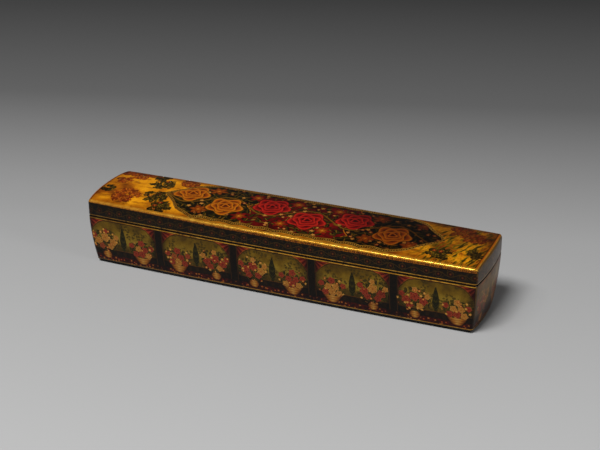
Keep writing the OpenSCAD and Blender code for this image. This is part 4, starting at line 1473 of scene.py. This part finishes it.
# %% Brass and steel
def brass_finish(name, axis, middle):
    """Aged brass with lathe rings about a line along an axis, through a middle given in metres."""
    material, ink = new_material(name)
    place, *_ = place_on_box(ink)
    local = place.shifted(tuple(-c / MM for c in middle)).parts()
    rest = [part for letter, part in zip("XYZ", local) if letter != axis]
    radius = (rest[0] * rest[0] + rest[1] * rest[1]) ** 0.5
    turn = local["XYZ".index(axis)]
    cloud = place.noise(0.35, 4.0)
    colour = cloud.ramp((0.32, "#6d4d1c"), (0.48, "#a9812f"), (0.62, "#c79f4a"), (0.8, "#dcbb6c"))
    spots = place.noise(1.7, 4.0)
    colour = colour.over("#4a3416", spots.ease(0.62, 0.72) * 0.7)
    colour = colour.over("#5d6d4c", place.noise(0.8, 3.0).ease(0.68, 0.78) * 0.45)
    rings = flat_vector(radius * 9.0, turn * 9.0).noise(1.0, 1.0)
    scratch = place.scaled((0.6, 5.0, 5.0)).noise(1.0, 2.0)
    bump = (rings * 0.6 + spots * 0.3 + scratch * 0.3).bump(0.18, 0.08)
    rough = cloud * -0.25 + spots * 0.25 + 0.34
    return shader(material, {"Metallic": 1.0}, base_color=colour, roughness=rough, normal=bump)


def steel_finish(name):
    """Steel ground along the box, with a dark bloom and a few rust freckles."""
    material, ink = new_material(name)
    place, *_ = place_on_box(ink)
    grind = place.scaled((0.25, 7.0, 7.0)).noise(1.0, 3.0)
    bloom = place.noise(0.16, 3.0)
    colour = (grind * 0.4 + bloom * 0.6).ramp((0.35, "#5f6062"), (0.5, "#8e9092"), (0.65, "#b9babb"))
    rust = place.noise(0.9, 4.0).ease(0.63, 0.72)
    colour = colour.over("#6a3a1c", rust * 0.7)
    bump = (grind - rust * 0.4).bump(0.15, 0.06)
    rough = grind * 0.2 + rust * 0.3 + 0.2
    return shader(material, {}, base_color=colour, roughness=rough, metallic=1.0 - rust * 0.8, normal=bump)


def cover_all(finish, *pieces):
    for piece in pieces:
        piece.data.materials.clear()
        piece.data.materials.append(finish)


pot_brass = brass_finish("brass_of_inkwell", "Z", (POT_X, 0.0, 0.0))
cover_all(pot_brass, pot, pot_top, knob, cover, lugs)
cover_all(brass_finish("brass_of_ferrule", "X", (0.0, knife_y, knife_z)), ferrule)
spoon_brass = brass_finish("brass_of_spoon", "Z", bowl_seat)
cover_all(spoon_brass, bowl, stem)
cover_all(steel_finish("ground_steel"), blade, pin)
print("metals:", pot_brass.name, spoon_brass.name)

# %% [markdown]
# Reed is a grass: fine fibres run along it, it is darker at its joints, and the outside has a natural gloss
# that years of fingers have polished to brown. The cut shows the pale inside, and the nib is stained with
# ink. One finish is drawn from the distance along the pen, with a tone of its own for each pen.

# %% Reed
REEDS = (
    ("reed_pen_broad", "reed_broad", "#6a3a12", "#a8702c"),
    ("reed_pen_medium", "reed_medium", "#4a260c", "#82501f"),
    ("reed_pen_fine", "reed_fine", "#7a4a1a", "#bd8a44"),
)
# Distances back from the tip: where the ink begins and is full, and where the slit ends
INK_FROM, INK_FULL, SLIT_L = 9.0, 3.0, 13.0


def reed_finish(node, name, deep, light):
    """Reed for one pen, with its joints, its pale cut, its inked nib and the slit."""
    material, ink = new_material(name)
    place, x0, y0, z0 = place_on_box(ink)
    low, middle, _ = place_of(node)
    along = x0 - low[0] / MM
    fibre = place.scaled((0.06, 5.5, 5.5)).noise(1.0, 3.0)
    cloud = place.scaled((0.05, 0.3, 0.3)).noise(1.0, 3.0)
    colour = (fibre * 0.55 + cloud * 0.45).ramp((0.34, deep), (0.66, light))
    for joint in PEN_JOINTS:
        gap = abs(along - joint * PEN_L)
        colour = colour.over("#3a200c", gap.ease(1.3, 0.2) * 0.75)
        colour = colour.over("#6a4018", gap.within(2.2, 5.0, 1.2) * 0.4)
    slope = z0 - (low[2] / MM + 2 * PEN_R) + (along - CUT_X) * ((2 * PEN_R - NIB_T) / NIB_L)
    cut = slope.ease(-0.9, -0.3) * along.ease(CUT_X - 0.5, CUT_X)
    colour = colour.over(fibre.ramp((0.35, "#b58a4c"), (0.65, "#dcb878")), cut)
    stain = (along + place.noise(0.6, 3.0) * 6.0).ease(PEN_L - INK_FROM, PEN_L - INK_FULL)
    colour = colour.over("#120d0a", stain * 0.92)
    slit = abs(y0 - middle[1] / MM).ease(0.16, 0.07) * along.ease(PEN_L - SLIT_L, PEN_L - SLIT_L + 0.4)
    colour = colour.over("#080504", slit)
    bump = (fibre * 0.7 - slit * 0.8).bump(0.25, 0.1)
    rough = fibre * 0.25 + cut * 0.3 + 0.24
    return shader(material, {}, base_color=colour, roughness=rough, normal=bump)


for pen, reed in zip(pens, REEDS):
    cover_all(reed_finish(*reed), pen)
print("reeds dressed:", len(pens))

# %% [markdown]
# Bone is cream, with fine streaks and tiny dark pores along it, and it yellows where it is held. The handle
# has inlaid rings and a row of ringed dots on each side, the oldest ornament for bone, cut with a
# two-pointed bit and filled with black. The dots repeat along the handle and round its eight sides, so
# their place on the surface is the distance along it and the angle round it.

# %% Bone
# Rings, first dot and ends of the row as shares of the handle's length; the step between dots is in mm
HANDLE_RINGS = (0.07, 0.085, 0.2, 0.8, 0.9, 0.915)
FIRST_DOT, ROW_START, ROW_END, DOT_GAP = 0.245, 0.22, 0.78, 5.2


def inlay(x, y, z):
    """Where the rings and the dots of the handle are."""
    along, length, radius = x - handle_low[0] / MM, HANDLE_L / MM, HANDLE_R / MM
    angle = (z - knife_z / MM).sum("ARCTAN2", y - knife_y / MM)
    half_gap, half_side = DOT_GAP / 2, math.pi * radius / SIDES
    cell_x = (along - FIRST_DOT * length).sum("WRAP", half_gap, -half_gap)
    cell_a = (angle * radius).sum("WRAP", half_side, -half_side)
    ring = flat_vector(cell_x, cell_a).length()
    dots = ring.ease(0.34, 0.22).sum("MAXIMUM", abs(ring - 0.85).ease(0.2, 0.1))
    filled = dots * along.within(ROW_START * length, ROW_END * length, 0.2)
    for spot in HANDLE_RINGS:
        filled = filled.sum("MAXIMUM", abs(along - spot * length).ease(0.3, 0.18))
    return filled


def bone_finish(name, inlaid):
    """Bone with streaks and pores, inlaid like the handle or plain."""
    material, ink = new_material(name)
    place, *parts = place_on_box(ink)
    streak = place.scaled((0.08, 1.6, 1.6)).noise(1.0, 4.0)
    warm = place.noise(0.07, 3.0)
    colour = (streak * 0.5 + warm * 0.5).ramp((0.34, "#b08a50"), (0.5, "#d9c08c"), (0.68, "#efe0ba"))
    pores = place.scaled((0.5, 4.0, 4.0)).noise(1.0, 2.0).ease(0.66, 0.74)
    colour = colour.over("#7a5a30", pores * 0.7)
    height = streak * 0.3 - pores * 0.5
    if inlaid:
        filled = inlay(*parts)
        colour = colour.over("#1a100a", filled * 0.92)
        height = height - filled * 0.8
    rough = streak * 0.2 + pores * 0.2 + 0.24
    return shader(material, {}, base_color=colour, roughness=rough, normal=height.bump(0.25, 0.1))


cover_all(bone_finish("bone_of_handle", True), handle)
cover_all(bone_finish("bone_of_plate", False), plate)
print("bone dressed")

# %% [markdown]
# The rest of the inside is lined and lacquered. The floor and the underside of the lid have red paper with a
# small gold sprig in staggered rows, as block-printed papers have. The collar and the cross board are dark
# red lacquer with one gold line, rubbed bare to brown along their upper edges, where the lid and the hand
# pass. The foot board is black.

# %% Lining paper and collar lacquer
SPRIG_ROW, SPRIG_PITCH = 6.5, 9.0


def lining_paper(name):
    material, ink = new_material(name)
    place, x0, y0, _ = place_on_box(ink)
    fibre = place.scaled((0.9, 2.4, 1.0)).noise(1.0, 4.0)
    cloud = place.noise(0.06, 4.0)
    colour = (fibre * 0.5 + cloud * 0.5).ramp((0.35, "#5a130c"), (0.5, "#7d2013"), (0.68, "#99331d"))
    half_pitch = SPRIG_PITCH / 2
    shift = abs((y0 / SPRIG_ROW).sum("FLOOR").sum("MODULO", 2.0)) * half_pitch
    sprig_x = (x0 + shift).sum("WRAP", half_pitch, -half_pitch)
    sprig = flat_vector(sprig_x, y0.sum("WRAP", SPRIG_ROW, 0.0) - SPRIG_ROW / 2)
    radius, angle = polar(sprig)
    bloom = radius / ((angle * 6.0).sum("COSINE") * 0.45 + 1.15)
    u, v, _ = sprig.parts()
    leaf = abs(u) + abs(v + 1.9) * 0.45
    printed = bloom.ease(1.05, 0.9).sum("MAXIMUM", leaf.ease(0.62, 0.45)) * (1.0 - radius.ease(0.5, 0.35))
    printed = printed * fibre.ease(0.3, 0.5)
    colour = colour.over("#c08a34", printed * 0.85)
    stain = cloud.ease(0.56, 0.72)
    colour = colour.tinted("#3a1c10", stain * 0.6)
    bump = (fibre - stain * 0.2).bump(0.3, 0.1)
    rough = fibre * 0.2 + 0.66 - printed * 0.2
    return shader(material, {"Specular IOR Level": 0.3}, base_color=colour, roughness=rough, normal=bump)


def board_lacquer(name, node, line_drop):
    """Dark red lacquer for a node's upright board, with a gold line below its worn top edge."""
    material, ink = new_material(name)
    place, _, _, z0 = place_on_box(ink)
    colour = place.noise(0.16, 4.0).ramp((0.35, "#380b08"), (0.68, "#64170f"))
    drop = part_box(node)[1][2] / MM - z0
    gilt = drop.within(line_drop, line_drop + 0.45, 0.08) * place.noise(0.5, 3.0).ease(0.3, 0.5)
    rubbed = (drop + place.noise(0.5, 4.0) * 1.6).ease(1.15, 0.7)
    bare = place.noise(1.2, 3.0).ramp((0.4, "#6b4424"), (0.6, "#9a6d3e"))
    colour = colour.over(bare, rubbed * 0.85)
    return varnished(material, colour, gilt, place, coat=0.25)


cover_all(lining_paper("printed_lining_paper"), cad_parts["floor_lining"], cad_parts["lid_lining"])
cover_all(board_lacquer("lacquer_of_collar", "collar_front", 2.3), *collars)
cover_all(board_lacquer("lacquer_of_cross_board", "ink_partition", 1.6), partition)
cover_all(foot_black, foot_board)
print("inside dressed")
